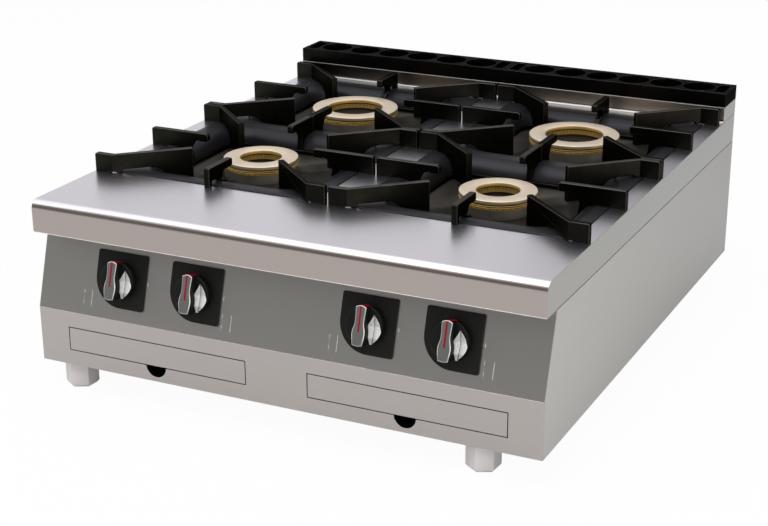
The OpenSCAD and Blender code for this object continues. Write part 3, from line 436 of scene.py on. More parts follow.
def loop_verts(bm, pts, z, off=(0, 0)):
    """Vertices at plan points, all at one height."""
    return [bm.verts.new(((x + off[0]) * MM, (y + off[1]) * MM, z * MM)) for x, y in pts]


def bridge(bm, a, b, material=0):
    """Joins two closed loops of as many vertices by a band of faces."""
    n = len(a)
    for i in range(n):
        bm.faces.new((a[i], a[(i + 1) % n], b[(i + 1) % n], b[i])).material_index = material


def fill(bm, *loops):
    """Fills the area between closed loops in one plane."""
    edges = []
    for lp in loops:
        for i in range(len(lp)):
            e = bm.edges.get((lp[i], lp[(i + 1) % len(lp)])) or bm.edges.new((lp[i], lp[(i + 1) % len(lp)]))
            edges.append(e)
    bmesh.ops.triangle_fill(bm, edges=edges, use_beauty=True, use_dissolve=False)


def thicken(ob, thickness):
    """Gives a surface the thickness of its sheet, inwards."""
    sol = ob.modifiers.new("sheet", "SOLIDIFY")
    sol.thickness = thickness * MM
    sol.offset = -1.0


# A well's floor and its corners and shoulder, then the pan's flange, sheet, depth, corners, holes and the floor's fold
WELL_W, WELL_D, WELL_R, SHOULDER = 255.0, 236.0, 40.0, 26.0
FLANGE, PAN_T, DEPTH, PAN_R, HOLE_R, FOLD_R = 19.5, 1.6, 25.0, 4.0, 42.0, 4.0
PAN_X, WELL_SHIFT, SHEET_T = 200.0, 10.0, 1.4
FRONT_WELL, REAR_WELL = NEAR_Y + WELL_SHIFT, FAR_Y - WELL_SHIFT


def pan(side, node):
    """One pressed pan with a front and a rear well."""
    bm = bmesh.new()
    x0 = side * PAN_X
    pan_w = WELL_W + 2 * SHOULDER + 2 * FLANGE
    pan_d = REAR_WELL - FRONT_WELL + WELL_D + 2 * SHOULDER + 2 * FLANGE
    mid = (FRONT_WELL + REAR_WELL) / 2
    prof = []
    for k in range(7):
        a = math.radians(90.0 * k / 6)
        prof.append((-FOLD_R + FOLD_R * math.sin(a), -DEPTH + FOLD_R - FOLD_R * math.cos(a)))
    for k in range(19):
        a = math.radians(90.0 * k / 18)
        prof.append((SHOULDER - SHOULDER * math.cos(a), PAN_T - SHOULDER + SHOULDER * math.sin(a)))
    turns = [2 * math.pi * k / 64 for k in range(64)]
    hole = [(HOLE_R * math.cos(a), HOLE_R * math.sin(a)) for a in turns]
    tops = []
    for well_y, burner_y in ((FRONT_WELL, NEAR_Y), (REAR_WELL, FAR_Y)):
        loops = [loop_verts(bm, round_loop(WELL_W + 2 * u, WELL_D + 2 * u, WELL_R + u), TOP + z, (x0, well_y))
                 for u, z in prof]
        for a, b in zip(loops, loops[1:]):
            bridge(bm, a, b)
        tops.append(loops[-1])
        fill(bm, loops[0], loop_verts(bm, hole, TOP - DEPTH, (x0, burner_y)))
    rim = [(0.0, PAN_T), (0.9, PAN_T - 0.3), (1.4, PAN_T - 0.9), (1.5, 0.05)]
    inner_w, inner_d, inner_r = pan_w - 3.0, pan_d - 3.0, PAN_R - 1.5
    loops = [loop_verts(bm, round_loop(inner_w + 2 * u, inner_d + 2 * u, inner_r + u), TOP + z, (x0, mid))
             for u, z in rim]
    for a, b in zip(loops, loops[1:]):
        bridge(bm, a, b)
    # The flat flange takes the darker, less glossy copy of the enamel: painted shade under the grates.
    pressed = len(bm.faces)
    fill(bm, loops[0], *tops)
    for f in list(bm.faces)[pressed:]:
        f.material_index = 1
    bmesh.ops.remove_doubles(bm, verts=bm.verts, dist=1e-6)
    ob = finish_mesh(node + ".pressed", bm, BODY_OF[node], ["enamel", "enamel_flange"], (node,), 40.0)
    thicken(ob, SHEET_T)


pan(-1, "pan_left")
pan(1, "pan_right")

# A ring's materials in their order, the groove's two heights, and the ports' size and heights
BRASS, PALE, SOOT_AND_SHADE, BAND = range(4)
GROOVE_TOP, GROOVE_LOW = -1.5, -3.5
PORT_R, PORT_L, PORT_OUT_Z, PORT_IN_Z = 0.9, 5.0, -8.5, -5.6


def ring_profile(ro, ri):
    """Section of a ring as (radius, height, material of the face that follows), round from its inner top edge."""
    top, low, g0, g1 = RING_TOP, RING_TOP - RING_H, GROOVE_TOP, GROOVE_LOW
    return [(ri + 1.5, top, PALE), (ro - 1.5, top, PALE), (ro - 0.7, top - 0.2, PALE), (ro - 0.2, top - 0.7, BAND),
            (ro, top - 1.5, BAND), (ro, g0 + 0.4, BAND), (ro - 0.4, g0, SOOT_AND_SHADE), (ro - 2.8, g0, SOOT_AND_SHADE),
            (ro - 2.8, g1, BRASS), (ro - 1.0, g1, BRASS), (ro - 0.3, g1 - 0.5, BRASS), (ro - 0.3, g1 - 1.4, BRASS),
            (ro - 1.0, g1 - 1.9, SOOT_AND_SHADE), (ro - 2.4, g1 - 1.9, SOOT_AND_SHADE), (ro - 2.4, g1 - 2.8, BRASS),
            (ro - 1.2, g1 - 2.8, BRASS), (ro - 0.8, g1 - 3.2, BRASS), (ro - 1.3, low, BRASS), (ri + 1.0, low, BRASS),
            (ri + 1.0, g1, BRASS), (ri + 2.5, g1, SOOT_AND_SHADE), (ri + 2.5, g0, BRASS), (ri + 0.3, g0, BRASS),
            (ri, g0 + 0.3, BRASS), (ri, top - 1.5, BRASS), (ri + 0.4, top - 0.5, PALE)]


def port_drills(cx, cy, ro, ri):
    """Small cylinders that cut one row of round ports into a ring's outside and one into its inside."""
    count = 36 if ri < 40 else 44
    bm = bmesh.new()
    for z, d in ((PORT_OUT_Z, ro - 1.2), (PORT_IN_Z, ri + 1.0)):
        for i in range(count):
            a = 2 * math.pi * i / count
            at = Matrix.Translation(((cx + d * math.cos(a)) * MM, (cy + d * math.sin(a)) * MM, (TOP + z) * MM))
            lying = Matrix.Rotation(a, 4, "Z") @ Matrix.Rotation(math.radians(90), 4, "Y")
            bmesh.ops.create_cone(bm, cap_ends=True, segments=10, radius1=PORT_R * MM, radius2=PORT_R * MM,
                                  depth=PORT_L * MM, matrix=at @ lying)
    me = bpy.data.meshes.new("cut")
    bm.to_mesh(me)
    bm.free()
    drills = bpy.data.objects.new("cut", me)
    bpy.context.scene.collection.objects.link(drills)
    return drills


def ring(k):
    """One turned burner ring with its groove and ports."""
    cx, cy, ro, ri = BURNERS[k]
    node = "burner_ring_" + k
    prof = ring_profile(ro, ri)
    bm = bmesh.new()
    lathe(bm, [(r, z) for r, z, _ in prof], (cx, cy, TOP), 128, [m for _, _, m in prof])
    drills = port_drills(cx, cy, ro, ri)
    ob = finish_mesh(node + ".turned", bm, BODY_OF[node], ["ring_brass", "ring_top", "soot_and_shade", "ring_band"],
                     (node,), 30.0)
    bo = ob.modifiers.new("ports", "BOOLEAN")
    bo.object = drills
    bo.operation = "DIFFERENCE"
    bo.solver = "EXACT"
    done = bpy.data.meshes.new_from_object(ob.evaluated_get(bpy.context.evaluated_depsgraph_get()))
    ob.modifiers.clear()
    ob.data = done
    for p in done.polygons:
        r = math.hypot(p.center.x - cx * MM, p.center.y - cy * MM) / MM
        z = p.center.z / MM - TOP
        # Soot and painted shade on the faces inside the ports.
        if -10.0 < z < GROOVE_LOW - 0.8 and ri + 1.15 < r < ro - 1.95:
            p.material_index = SOOT_AND_SHADE
    done.set_sharp_from_angle(angle=math.radians(30))
    bpy.data.objects.remove(drills)


def throat(k):
    """Tells the faces down inside a burner's body from those outside it; the inside ones take a darker iron, painted
    shade.
    """
    cx, cy, _, ri = BURNERS[k]

    def inside(f):
        c = f.calc_center_median() / MM
        return 1 if math.hypot(c.x - cx, c.y - cy) < ri + 2.0 else 0

    return inside


for k in BURNERS:
    ring(k)
    copied("burner_body_" + k, 0.8, 2, 25.0, ["burner_iron", "throat_iron"], mat_of=throat(k))


# A grate's top and floor over the worktop, and its half width and depth
GRATE_TOP, GRATE_FLOOR, HALF_W, HALF_D = 29.0, -24.4, 197.5, 162.5
# A fin's thickness, its tip's place, height and rounding, its two arches, then its leg, corners, notch and rims
FIN_T, TIP_R, TIP_H, NOSE, ARCH, LOW_ARCH = 9.5, 94.0, 13.0, 4.0, 8.0, 5.0
LEG_T, LEG_TOP, LEG_MID, CORNER, NOTCH, RIM = 5.0, 121.0, 127.0, 3.0, 3.0, 1.3
# The lengths of the feet, and the height and run of a diagonal's step over the flange
SIDE_TOE, NEAR_TOE, FAR_TOE, DIAGONAL_TOE, STEP_Z, STEP_RUN = 23.0, 8.0, 7.5, 24.2, 1.8, 12.0
# Distances from the burner to the foot of the shoulder, the shoulder's centre, and the room left beside it
SIDE_WALL, NEAR_WALL, FAR_WALL, SHOULDER_Z = 127.5, 108.0, 128.0, -24.4
CLEAR, ASKEW_CLEAR = 1.0, 3.0
INNER, BEND = Vector((78.0, 75.0)), Vector((167.0, 157.75))
CAST, FRAME, WORN_LIT = range(3)


def arc(cx, cy, r, a0, a1, n):
    """Points on a circle from one angle to another, both ends included."""
    return [(cx + r * math.cos(math.radians(a0 + (a1 - a0) * k / n)),
             cy + r * math.sin(math.radians(a0 + (a1 - a0) * k / n))) for k in range(n + 1)]


def heel(reach, toe, seat):
    """The outer end of a fin, from its top to the inner edge of its foot."""
    return (arc(reach - CORNER, GRATE_TOP - CORNER, CORNER, 90, 0, 5)
            + [(reach, seat), (reach - toe, seat)])


def under(centre, clear, out, bridge_z=ARCH):
    """The underside from the bridge over the flange down the shoulder to the floor."""
    start = math.degrees(math.acos(CORNER / clear))
    points = arc(out - CORNER, bridge_z - CORNER, CORNER, 0, 90, 5) if out else []
    points += arc(centre, bridge_z - CORNER, CORNER, 90, 180, 5)
    return points + arc(centre, SHOULDER_Z, clear, 180 - start, 180, 14)


def fin_outline(reach, toe, seat, wall, arched):
    """Side view of a straight fin as (distance from the burner's centre, height), clockwise from the tip's top."""
    centre = wall + SHOULDER
    clear = SHOULDER + CLEAR
    points = arc(TIP_R + NOSE, GRATE_TOP - NOSE, NOSE, 180, 90, 5) + heel(reach, toe, seat)
    if arched:
        points += under(centre, clear, reach - toe)
    else:
        points += [(reach - toe, SHOULDER_Z + clear)] + arc(centre, SHOULDER_Z, clear, 90, 180, 16)
    points += [(wall - LEG_T, GRATE_FLOOR), (wall - LEG_T / 2, SHOULDER_Z + SHOULDER / 2),
               (min(LEG_MID, wall + LEG_T), 0.0), (LEG_MID, NOTCH), (LEG_TOP, GRATE_TOP - TIP_H - NOTCH),
               (LEG_TOP - NOTCH, GRATE_TOP - TIP_H)]
    points += arc(LEG_TOP - 3 * NOTCH, GRATE_TOP - TIP_H, NOTCH / 1.5, 0, 180, 8)
    return points + arc(TIP_R + NOSE, GRATE_TOP - TIP_H + NOSE, NOSE, 270, 180, 5)


def corner_wall(wall):
    """Where a diagonal meets the round corner of the well's floor."""
    run = (BEND - INNER).normalized()
    off = INNER - Vector((SIDE_WALL - WELL_R, wall - WELL_R))
    along = off.dot(run)
    return math.sqrt(along ** 2 - off.dot(off) + WELL_R ** 2) - along


def inset(points, d):
    """Moves a closed outline into its own area by d, corner by corner."""
    n = len(points)
    area = sum(points[i][0] * points[(i + 1) % n][1] - points[(i + 1) % n][0] * points[i][1] for i in range(n))
    turn = 1.0 if area > 0 else -1.0
    out = []
    for i in range(n):
        p, q, r = Vector(points[i - 1]), Vector(points[i]), Vector(points[(i + 1) % n])
        e0, e1 = (q - p).normalized(), (r - q).normalized()
        n0, n1 = Vector((-e0.y, e0.x)) * turn, Vector((-e1.y, e1.x)) * turn
        m = (n0 + n1) / max(0.35, 1.0 + n0.dot(n1))
        out.append((q.x + m.x * d, q.y + m.y * d))
    return out


def plate(bm, outline, place, split=None):
    """A flat casting with rounded rims in lighter iron, for wear and a painted highlight; place(t, w) gives the plan
    point for a length and a sideways offset.
    """
    half = FIN_T / 2
    rows = []
    for depth, off in ((1.0, 0.0), (0.62, 0.07), (0.29, 0.29), (0.07, 0.62), (0.0, 1.0)):
        rows.append((half - depth * RIM, inset(outline, off * RIM)))
    stack = [(-w, pts) for w, pts in reversed(rows)] + rows
    loops = [[bm.verts.new((*place(t, w), (TOP + z) * MM)) for t, z in pts] for w, pts in stack]
    for row, (a, b) in enumerate(zip(loops, loops[1:])):
        bridge(bm, a, b, WORN_LIT if row in (1, 2, 6, 7) else CAST)
    for lp in (loops[0], loops[-1]):
        if split is None:
            bm.faces.new(lp)
        else:
            i, j = split
            bm.faces.new(lp[:i + 1] + lp[j:])
            bm.faces.new(lp[i:j + 1])


def diagonal_outline(wall, length, reach):
    """Side view of a diagonal fin, whose foot begins at length, and the two corners where it is bent."""
    ends = heel(reach, DIAGONAL_TOE, 0.0)
    step = [(reach - DIAGONAL_TOE, STEP_Z), (length, STEP_Z), (length - STEP_RUN, STEP_Z),
            (length - STEP_RUN - 2.0, LOW_ARCH)]
    outline = ([(0.0, GRATE_TOP), (length, GRATE_TOP)] + ends + step
               + under(corner_wall(wall) + SHOULDER, SHOULDER + ASKEW_CLEAR, None, LOW_ARCH) + [(0.0, GRATE_FLOOR)])
    return outline, (1, 3 + len(ends))


def grate(k):
    """One cast grate: four straight fins, four bent diagonals and the low frame that joins them."""
    cx, cy = BURNERS[k][:2]
    flip = 1.0 if k[0] == "f" else -1.0
    node = "grate_" + k
    bm = bmesh.new()

    def straight(ux, uy):
        return lambda t, w: ((cx + ux * t - uy * w) * MM, (cy + flip * (uy * t + ux * w)) * MM)

    for ux in (-1, 1):
        plate(bm, fin_outline(HALF_W, SIDE_TOE, 0.0, SIDE_WALL, False), straight(ux, 0))
    plate(bm, fin_outline(HALF_D, FAR_TOE, PAN_T, FAR_WALL, False), straight(0, 1))
    plate(bm, fin_outline(HALF_D, NEAR_TOE, 0.0, NEAR_WALL, True), straight(0, -1))
    length = (BEND - INNER).length
    run = (BEND - INNER).normalized()
    n1, n2 = Vector((-run.y, run.x)), Vector((0.0, 1.0))
    mitre = (n1 + n2) / (1 + n1.dot(n2))
    for sx in (-1, 1):
        for sy in (-1, 1):
            def bent(t, w):
                if abs(t - length) < 1e-6:
                    p = BEND + mitre * w
                elif t < length:
                    p = INNER + run * t + n1 * w
                else:
                    p = BEND + Vector((t - length, 0.0)) + n2 * w
                return ((cx + sx * p.x) * MM, (cy + flip * sy * p.y) * MM)

            outline, corners = diagonal_outline(FAR_WALL if sy > 0 else NEAR_WALL, length, length + HALF_W - BEND.x)
            plate(bm, outline, bent, corners)
    # The low frame is in the darker frame iron: painted shade on the well floor.
    low, high = GRATE_FLOOR + 0.1, GRATE_FLOOR + 6.0
    section = [(-7.5, low), (-1.5, low), (-1.5, high - 1.2), (-2.7, high), (-6.3, high), (-7.5, high - 1.2)]
    centre = (cx, cy + flip * WELL_SHIFT)
    loops = [loop_verts(bm, round_loop(WELL_W + 2 * u, WELL_D + 2 * u, WELL_R + u, 10), TOP + z, centre)
             for u, z in section]
    for a, b in zip(loops, loops[1:] + loops[:1]):
        bridge(bm, a, b, FRAME)
    # The fins' flat tops take the lighter edge iron: wear and a painted highlight from above.
    bm.normal_update()
    for f in bm.faces:
        if f.normal.z > 0.9 and f.calc_center_median().z > (TOP + GRATE_TOP - 0.5) * MM:
            f.material_index = WORN_LIT
    mats = ["cast_iron", "frame_iron", "worn_lit_edge"]
    weighted(finish_mesh(node + ".cast", bm, BODY_OF[node], mats, (node,)))


for k in BURNERS:
    grate(k)


def on_panel(x, s, h):
    """A point on the sloping panel: x across, s up the slope, h out of it, in millimetres."""
    return Vector((x * MM, (FRONT + s * math.sin(TILT) - h * math.cos(TILT)) * MM,
                   (FOOT_H + LOWER_H + s * math.cos(TILT) + h * math.sin(TILT)) * MM))


# The knob's skirt, then the widths of its waisted grip by height
KNOB_LOW, SKIRT_TOP, KNOB_R, SPINDLE_R = 6.5, 15.5, 28.0, 4.1
GRIP_SIDE = [(28.0, 7.8), (5.4, 6.75), (-10.6, 9.55), (-27.6, 7.75)]
GRIP_HIGH, GRIP_END, GRIP_STEPS, GRIP_CROWN = 27.8, -27.0, 26, 0.9
# The leaf's ends, reach and thickness, and the distances of its inner and outer edge by height
LEAF_TOP, LEAF_LOW, LEAF_R, LEAF_T = 15.6, -24.2, 27.7, 0.5
LEAF_INNER = [(15.6, 14.9), (11.6, 12.9), (0.0, 6.4), (-11.8, 7.9), (-21.1, 12.3), (-24.2, 13.4)]
LEAF_OUTER = [(15.6, 14.95), (11.3, 19.3), (5.7, 23.4), (-6.2, 27.7), (-24.2, 27.7)]
# The pointer's half width, and the turn of the red cap about the knob's upper end
LINE_HALF = 1.4
CAP_TURN = [math.radians(-2.9 + 15.0 * i / 8) for i in range(9)]


def put(bm, k, x, y, h):
    """A vertex on a knob: x across and y up from its centre, h out of the panel."""
    return bm.verts.new(on_panel(KNOB_X[k] + x, KNOB_S + y, h))


def width_at(points, y, eased=False):
    """Width at height y, from points given from top to bottom, by straight or by eased runs."""
    for (y0, x0), (y1, x1) in zip(points, points[1:]):
        if y1 <= y <= y0:
            t = (y0 - y) / (y0 - y1)
            return x0 + (x1 - x0) * (t * t * (3 - 2 * t) if eased else t)
    return points[0][1] if y > points[0][0] else points[-1][1]


def grip_loop(inward):
    """Outline of the grip moved in by inward, clockwise from its upper right end."""
    reach = KNOB_R - 0.05 - inward
    top, bottom = GRIP_HIGH - inward, GRIP_END + inward
    ys = [top + (bottom - top) * i / GRIP_STEPS for i in range(GRIP_STEPS + 1)]
    right = [(min(width_at(GRIP_SIDE, y, True) - inward, math.sqrt(max(0.0, reach ** 2 - y * y))), y) for y in ys]
    left = [(-x, y) for x, y in reversed(right)]

    def end(x, y0, sign):
        out = []
        for i in range(1, 6):
            u = x * (1 - 2 * i / 6.0) * sign
            lift = GRIP_CROWN * (1 - (u / x) ** 2)
            out.append((u, math.copysign(min(math.sqrt(reach ** 2 - u * u), abs(y0) + lift), y0)))
        return out

    return right + end(*right[-1], 1) + left + end(*right[0], -1)


def knob_body(k):
    """A knob's round skirt and, on it, the waisted grip with a bright rim round its grey face."""
    bm = bmesh.new()
    prof = [(SPINDLE_R, KNOB_LOW), (KNOB_R - 0.8, KNOB_LOW), (KNOB_R - 0.2, KNOB_LOW + 0.2), (KNOB_R, KNOB_LOW + 0.8),
            (KNOB_R, SKIRT_TOP - 2.2), (KNOB_R - 0.3, SKIRT_TOP - 1.1), (KNOB_R - 1.1, SKIRT_TOP - 0.3),
            (KNOB_R - 2.2, SKIRT_TOP), (SPINDLE_R, SKIRT_TOP)]
    n = 96
    turns = [[put(bm, k, r * math.cos(2 * math.pi * i / n), r * math.sin(2 * math.pi * i / n), h) for r, h in prof]
             for i in range(n)]
    for a, b in zip(turns, turns[1:] + turns[:1]):
        for i in range(len(prof)):
            j = (i + 1) % len(prof)
            bm.faces.new((a[i], b[i], b[j], a[j]))
    black, face, bright = range(3)
    levels = [(0.0, 15.0, black), (0.0, KNOB_FACE - 1.0, bright), (0.15, KNOB_FACE - 0.55, bright),
              (0.75, KNOB_FACE - 0.08, bright), (1.05, KNOB_FACE - 0.08, face)]
    loops = [[put(bm, k, x, y, h) for x, y in grip_loop(inward)] for inward, h, _ in levels]
    for a, b, (_, _, material) in zip(loops, loops[1:], levels):
        bridge(bm, a, b, material)
    bm.faces.new(loops[-1]).material_index = face
    bm.faces.new(list(reversed(loops[0])))
    finish_mesh("knob_" + k + ".moulded", bm, "knob_" + k,
                ["black_plastic", "grip_grey", "leaf_chrome"], ("knob_" + k,), 32.0)


def knob_leaf(k):
    """The leaf-shaped bright plate beside the grip, on the knob's right side only, in two lobes folded along a crease;
    its pale plating also paints the bright reflection on that side.
    """
    bm = bmesh.new()
    nt, ns = 36, 9
    for lobe, edge in ((0, LEAF_INNER), (1, LEAF_OUTER)):
        grid = []
        for i in range(nt + 1):
            y = LEAF_TOP + (LEAF_LOW - LEAF_TOP) * i / nt
            crease = 15.1 + 1.5 * math.sin(math.pi * min(1.0, i / nt * 1.15) * 0.85)
            x1 = width_at(edge, y)
            if lobe == 0:
                x0, x1 = crease - 0.35, max(x1, width_at(GRIP_SIDE, y, True) + 0.1)
            else:
                x0, x1 = crease + 0.35, min(x1, math.sqrt(LEAF_R ** 2 - y * y))
            row = []
            for j in range(ns + 1):
                u = j / ns
                lift = 1.5 * u if lobe == 0 else 2.2 * u * (1 - u) + 0.3 * u
                row.append(put(bm, k, x0 + (x1 - x0) * u, y, SKIRT_TOP + 0.35 + lift))
            grid.append(row)
        for i in range(nt):
            for j in range(ns):
                bm.faces.new((grid[i][j], grid[i][j + 1], grid[i + 1][j + 1], grid[i + 1][j]))
    bmesh.ops.remove_doubles(bm, verts=bm.verts, dist=2e-5)
    bm.normal_update()
    out = on_panel(0, 0, 1) - on_panel(0, 0, 0)
    for f in bm.faces:
        if f.normal.dot(out) < 0:
            f.normal_flip()
    ob = finish_mesh("knob_" + k + ".leaf", bm, "knob_" + k, ["leaf_chrome"], (), 40.0, recalc=False)
    thicken(ob, LEAF_T)


def knob_line(k):
    """The pointer: a red line along the face, over its upper end and down the body, and the cap beside it."""
    bm = bmesh.new()
    path = [(-8.4, KNOB_FACE - 0.5), (-8.4, KNOB_FACE), (26.6, KNOB_FACE), (27.6, KNOB_FACE - 0.5),
            (27.98, KNOB_FACE - 1.4), (27.98, SKIRT_TOP), (27.98, KNOB_LOW + 1.0)]
    shift = [(-0.3, 0.0)] * 2 + [(-0.5, -0.5)] * 2 + [(-0.6, 0.0)] * 3
    across = (-LINE_HALF, -LINE_HALF + 0.25, LINE_HALF - 0.25, LINE_HALF)
    rows = [[put(bm, k, x, y, h) for x in across] + [put(bm, k, x, y + dy, h + dh) for x in (LINE_HALF, -LINE_HALF)]
            for (y, h), (dy, dh) in zip(path, shift)]
    for a, b in zip(rows, rows[1:]):
        bridge(bm, a, b)
    bm.faces.new(list(reversed(rows[0])))
    bm.faces.new(rows[-1])
    high_in, high_out, low_in, low_out = [[put(bm, k, r * math.sin(a), r * math.cos(a), h) for a in CAP_TURN]
                                          for h in (KNOB_FACE - 0.6, KNOB_LOW + 1.0)
                                          for r in (KNOB_R - 0.5, KNOB_R + 0.5)]
    for a, b in ((low_in, low_out), (low_out, high_out), (high_out, high_in), (high_in, low_in)):
        for i in range(len(a) - 1):
            bm.faces.new((a[i], a[i + 1], b[i + 1], b[i]))
    for i in (0, -1):
        bm.faces.new((low_in[i], low_out[i], high_out[i], high_in[i]))
    node = "knob_pointer_" + k
    finish_mesh(node + ".line", bm, "knob_" + k, ["pointer_red"], (node,), 30.0)


for k in BURNERS:
    knob_body(k)
    knob_leaf(k)
    knob_line(k)


def bar(bm, x, s0, s1, half=0.45, h0=-0.1, h1=0.06):
    """A thin raised stroke up the panel, with slanting sides."""
    low = [on_panel(x + a * (half + 0.1), s, h0) for a, s in ((-1, s0), (1, s0), (1, s1), (-1, s1))]
    high = [on_panel(x + a * half, s, h1) for a, s in ((-1, s0 + 0.1), (1, s0 + 0.1), (1, s1 - 0.1), (-1, s1 - 0.1))]
    lv = [bm.verts.new(v) for v in low]
    hv = [bm.verts.new(v) for v in high]
    bm.faces.new(hv)
    bm.faces.new(list(reversed(lv)))
    bridge(bm, lv, hv)


def marks():
    """A dashed and a plain stroke beside each bezel, and a small tick at its other side."""
    bm = bmesh.new()
    for dashed, solid, up in ((-323.3, -309.9, 0.0), (-89.5, -75.0, 0.0), (81.1, 93.4, 0.0), (310.7, 324.4, 2.2)):
        bar(bm, solid, 14.2 + up, 38.2 + up)
        for s0, s1 in ((14.5, 15.9), (17.3, 22.6), (25.6, 26.8), (31.6, 38.0)):
            bar(bm, dashed, s0 + up, s1 + up)
    for x in (-217.4, -90.6, 182.4, 308.6):
        bar(bm, x, 56.9, 62.7, 0.6)
        bar(bm, x - 3.2, 59.3, 60.3, 0.5)
    finish_mesh("control_panel.marks", bm, "body", ["mark"], (), 30.0)


marks()


def worktop_part(f):
    """The worktop's flat top, its front nose, or the skirt at its ends and back: one steel sheet in three tones that
    paint its light and shade.
    """
    if f.normal.z > 0.68:
        return 0
    return 2 if abs(f.normal.x) > 0.68 or f.normal.y > 0.68 else 1


def riser_part(f):
    """The riser's front, or its other sides: two tones of one steel that paint its light and shade."""
    return 0 if f.normal.y < -0.5 else 1


def at_gap(f):
    """Whether a face lies in the narrow gap round a drip tray's front, where a near-black sheet paints the shade in
    the gap.
    """
    c = f.calc_center_median() / MM
    near = c.y < FRONT + SETBACK + 6.0 and 60.0 < c.z < 110.0 and 40.0 < abs(c.x) < 360.0
    return 1 if near and abs(f.normal.y) < 0.9 else 0


def flue_part(f):
    """A flue casting's rounded edges and its top, in lighter iron as painted highlights, or its sides."""
    if f.material_index:
        return f.material_index
    return 2 if f.normal.z > 0.9 and f.calc_center_median().z > (TOP + 45.0) * MM else 0


def along_front(bm, section, x0, x1):
    """Draws a small closed section of (y, z) out along x."""
    ends = [[bm.verts.new((x, v, z)) for v, z in section] for x in (x0, x1)]
    bridge(bm, *ends)
    for e in ends:
        bm.faces.new(e)


def bead(y, z, deep, high):
    """Section of a half-round bead standing forward of y and below z."""
    turns = [math.pi * i / 8 for i in range(9)]
    return [((y + 0.3 - (deep + 0.3) * math.sin(a)) * MM, (z - high / 2 + high / 2 * math.cos(a)) * MM) for a in turns]


def riser_trim():
    """The riser's folded foot and the rolled lip along its top."""
    low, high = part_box("flue_riser")
    y, top, r = low[1] / MM, high[2] / MM, 5.0
    x0, x1 = low[0] + 0.5 * MM, high[0] - 0.5 * MM
    bend = [(y * MM, TOP * MM)] + [((y - r + r * math.sin(a)) * MM, (TOP + r - r * math.cos(a)) * MM)
                                   for a in [math.radians(90.0 * i / 10) for i in range(11)]]
    bm = bmesh.new()
    along_front(bm, bend, x0, x1)
    along_front(bm, bead(y, top, 0.7, 1.4), x0, x1)
    finish_mesh("flue_riser.trim", bm, "body", ["trim_steel"])


def nose_highlight_hem():
    """A pale pressed bead along the bottom of the worktop's nose, which paints the highlight of the lit floor on that
    edge.
    """
    bm = bmesh.new()
    reach = (BODY_W / 2 - 0.5) * MM
    along_front(bm, bead(FRONT, SKIRT + 1.1, 0.25, 1.1), -reach, reach)
    finish_mesh("worktop.highlight_hem", bm, "body", ["hem_highlight"])


copied("worktop", 0.7, 2, 40.0, ["worktop_steel", "nose_steel", "skirt_steel"], mat_of=worktop_part)
for n in ("side_panel_left", "side_panel_right", "control_panel"):
    copied(n, 0.35, 2, 25.0)
copied("flue_riser", 0.5, 2, 25.0, ["riser_steel", "skirt_steel"], mat_of=riser_part)
copied("lower_front", 0.2, 1, 25.0, ["front_steel", "gap_shade"], mat_of=at_gap)
for n in ("drip_tray_left", "drip_tray_right"):
    copied(n, 0.2, 1, 40.0, ["front_steel", "gap_shade"], mat_of=at_gap)
for n in ("flue_grille_left", "flue_grille_right"):
    copied(n, 0.9, 2, 30.0, ["flue_iron", "flue_edge", "flue_top"], mat_of=flue_part, rim=1)
riser_trim()
nose_highlight_hem()
copied("bezels", 0.7, 3, 30.0, ["bezel_plastic"])
for k in BURNERS:
    copied("foot_" + k, 0.8, 3, 25.0)


def stage():
    """A wide pale floor: the camera sees it nearly white, with the object's soft shadow."""
    me = bpy.data.meshes.new("floor")
    bm = bmesh.new()
    bmesh.ops.create_grid(bm, x_segments=1, y_segments=1, size=30.0)
    bm.to_mesh(me)
    bm.free()
    floor = bpy.data.objects.new("floor", me)
    bpy.context.scene.collection.objects.link(floor)
    m = bpy.data.materials.new("floor")
    m.use_nodes = True
    nt = m.node_tree
    nt.nodes.clear()
    out = add(nt, "ShaderNodeOutputMaterial")
    pale = add(nt, "ShaderNodeBsdfDiffuse", Color=(0.86, 0.86, 0.86, 1))
    white = add(nt, "ShaderNodeEmission", Strength=1.0)
    lp = add(nt, "ShaderNodeLightPath")
    amount = reckon(nt, "MULTIPLY", lp.outputs["Is Camera Ray"], 0.96)
    link(nt, mix_shader(nt, amount, pale.outputs[0], white.outputs[0]), out.inputs["Surface"])
    floor.data.materials.append(m)


def greys(*stops):
    return [(at, grey(v)) for at, v in stops]


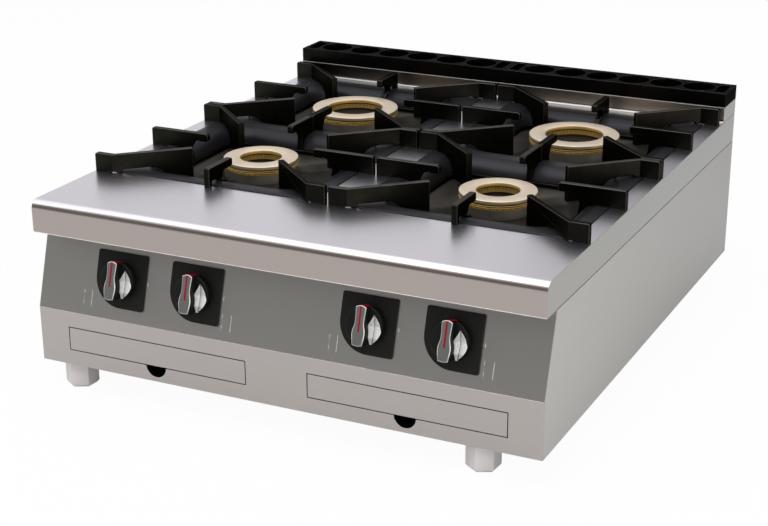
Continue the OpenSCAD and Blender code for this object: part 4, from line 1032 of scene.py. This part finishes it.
def world():
    """A studio: plain light on rough surfaces, bright and dark walls in glossy ones, and white to the camera."""
    w = bpy.data.worlds.new("studio")
    bpy.context.scene.world = w
    w.use_nodes = True
    nt = w.node_tree
    nt.nodes.clear()
    out = add(nt, "ShaderNodeOutputWorld")
    lp = add(nt, "ShaderNodeLightPath")
    tc = add(nt, "ShaderNodeTexCoord")
    sep = add(nt, "ShaderNodeSeparateXYZ")
    link(nt, tc.outputs["Generated"], sep.inputs[0])
    up = remap(nt, sep.outputs["Z"], -0.1, 1.0)
    back = remap(nt, sep.outputs["Y"], -0.7, 0.5)
    across = remap(nt, sep.outputs["X"], -0.38, -0.24, kind="SMOOTHSTEP")
    right = remap(nt, sep.outputs["X"], 0.35, 0.75, kind="SMOOTHSTEP")
    ceiling = greys((0.80, 0.97), (0.93, 1.0), (1.0, 0.5))
    front_side = ramp(nt, up, greys((0.0, 0.28), (0.10, 0.18), (0.16, 0.145), (0.52, 0.145), (0.66, 0.5)) + ceiling)
    open_side = ramp(nt, up, greys((0.0, 0.472), (0.3, 0.528), (0.66, 0.56)) + ceiling)
    shut_side = ramp(nt, up, greys((0.0, 0.056), (0.36, 0.09), (0.52, 0.5), (0.66, 0.56)) + ceiling)
    room = mix_color(nt, back, front_side, mix_color(nt, across, open_side, shut_side))
    soft = add(nt, "ShaderNodeBackground", Color=(0.96, 0.97, 1.0, 1), Strength=0.55)
    shine = add(nt, "ShaderNodeBackground", Strength=1.8)
    link(nt, mix_color(nt, right, room, (0.78, 0.74, 0.68, 1)), shine.inputs["Color"])
    white = add(nt, "ShaderNodeBackground", Color=(1, 1, 1, 1), Strength=1.0)
    lit = mix_shader(nt, lp.outputs["Is Glossy Ray"], soft.outputs[0], shine.outputs[0])
    seen = reckon(nt, "MAXIMUM", lp.outputs["Is Camera Ray"], lp.outputs["Is Transmission Ray"])
    link(nt, mix_shader(nt, seen, lit, white.outputs[0]), out.inputs["Surface"])


def lamp(name, at, to, size, power):
    """A rectangular lamp that shines from one point to another."""
    li = bpy.data.lights.new(name, "AREA")
    li.shape = "RECTANGLE"
    li.size, li.size_y = size
    li.energy = power
    ob = bpy.data.objects.new(name, li)
    ob.location = at
    ob.rotation_euler = (Vector(to) - Vector(at)).to_track_quat("-Z", "Y").to_euler()
    ob.visible_camera = False
    bpy.context.scene.collection.objects.link(ob)
    return ob


def camera():
    """The camera as fitted to the photo's corners."""
    place = (1.083, -2.3200, 1.0579)
    az, el, roll = math.radians(25.42), math.radians(21.45), math.radians(-0.13)
    cd = bpy.data.cameras.new("camera")
    cd.lens = 79.22
    cd.sensor_width = 36.0
    cd.shift_x = -0.0182
    cd.shift_y = 0.0443
    cd.clip_end = 200.0
    ob = bpy.data.objects.new("camera", cd)
    back = Vector((math.sin(az) * math.cos(el), -math.cos(az) * math.cos(el), math.sin(el)))
    level = (-back).cross(Vector((0, 0, 1))).normalized()
    upright = level.cross(-back)
    right = math.cos(roll) * level + math.sin(roll) * upright
    up = -math.sin(roll) * level + math.cos(roll) * upright
    ob.matrix_world = Matrix([(*row, at) for row, at in zip(zip(right, up, back), place)] + [(0, 0, 0, 1)])
    bpy.context.scene.collection.objects.link(ob)
    bpy.context.scene.camera = ob


stage()
world()
lamp("over", (0.0, -0.9, 2.6), (0, -0.9, 0.2), (2.6, 2.8), 38.0)
lamp("left", (-2.6, -1.2, 1.6), (0, 0, 0.2), (1.6, 1.6), 14.0)
lamp("back", (-0.8, 2.8, 1.5), (0, 0, 0.25), (3.0, 1.2), 9.0).visible_glossy = False
lamp("right", (1.7, -1.3, 1.2), (0.6, -0.3, 0.0), (0.8, 0.8), 5.0).visible_glossy = False
camera()
bpy.context.scene.view_settings.view_transform = "Standard"
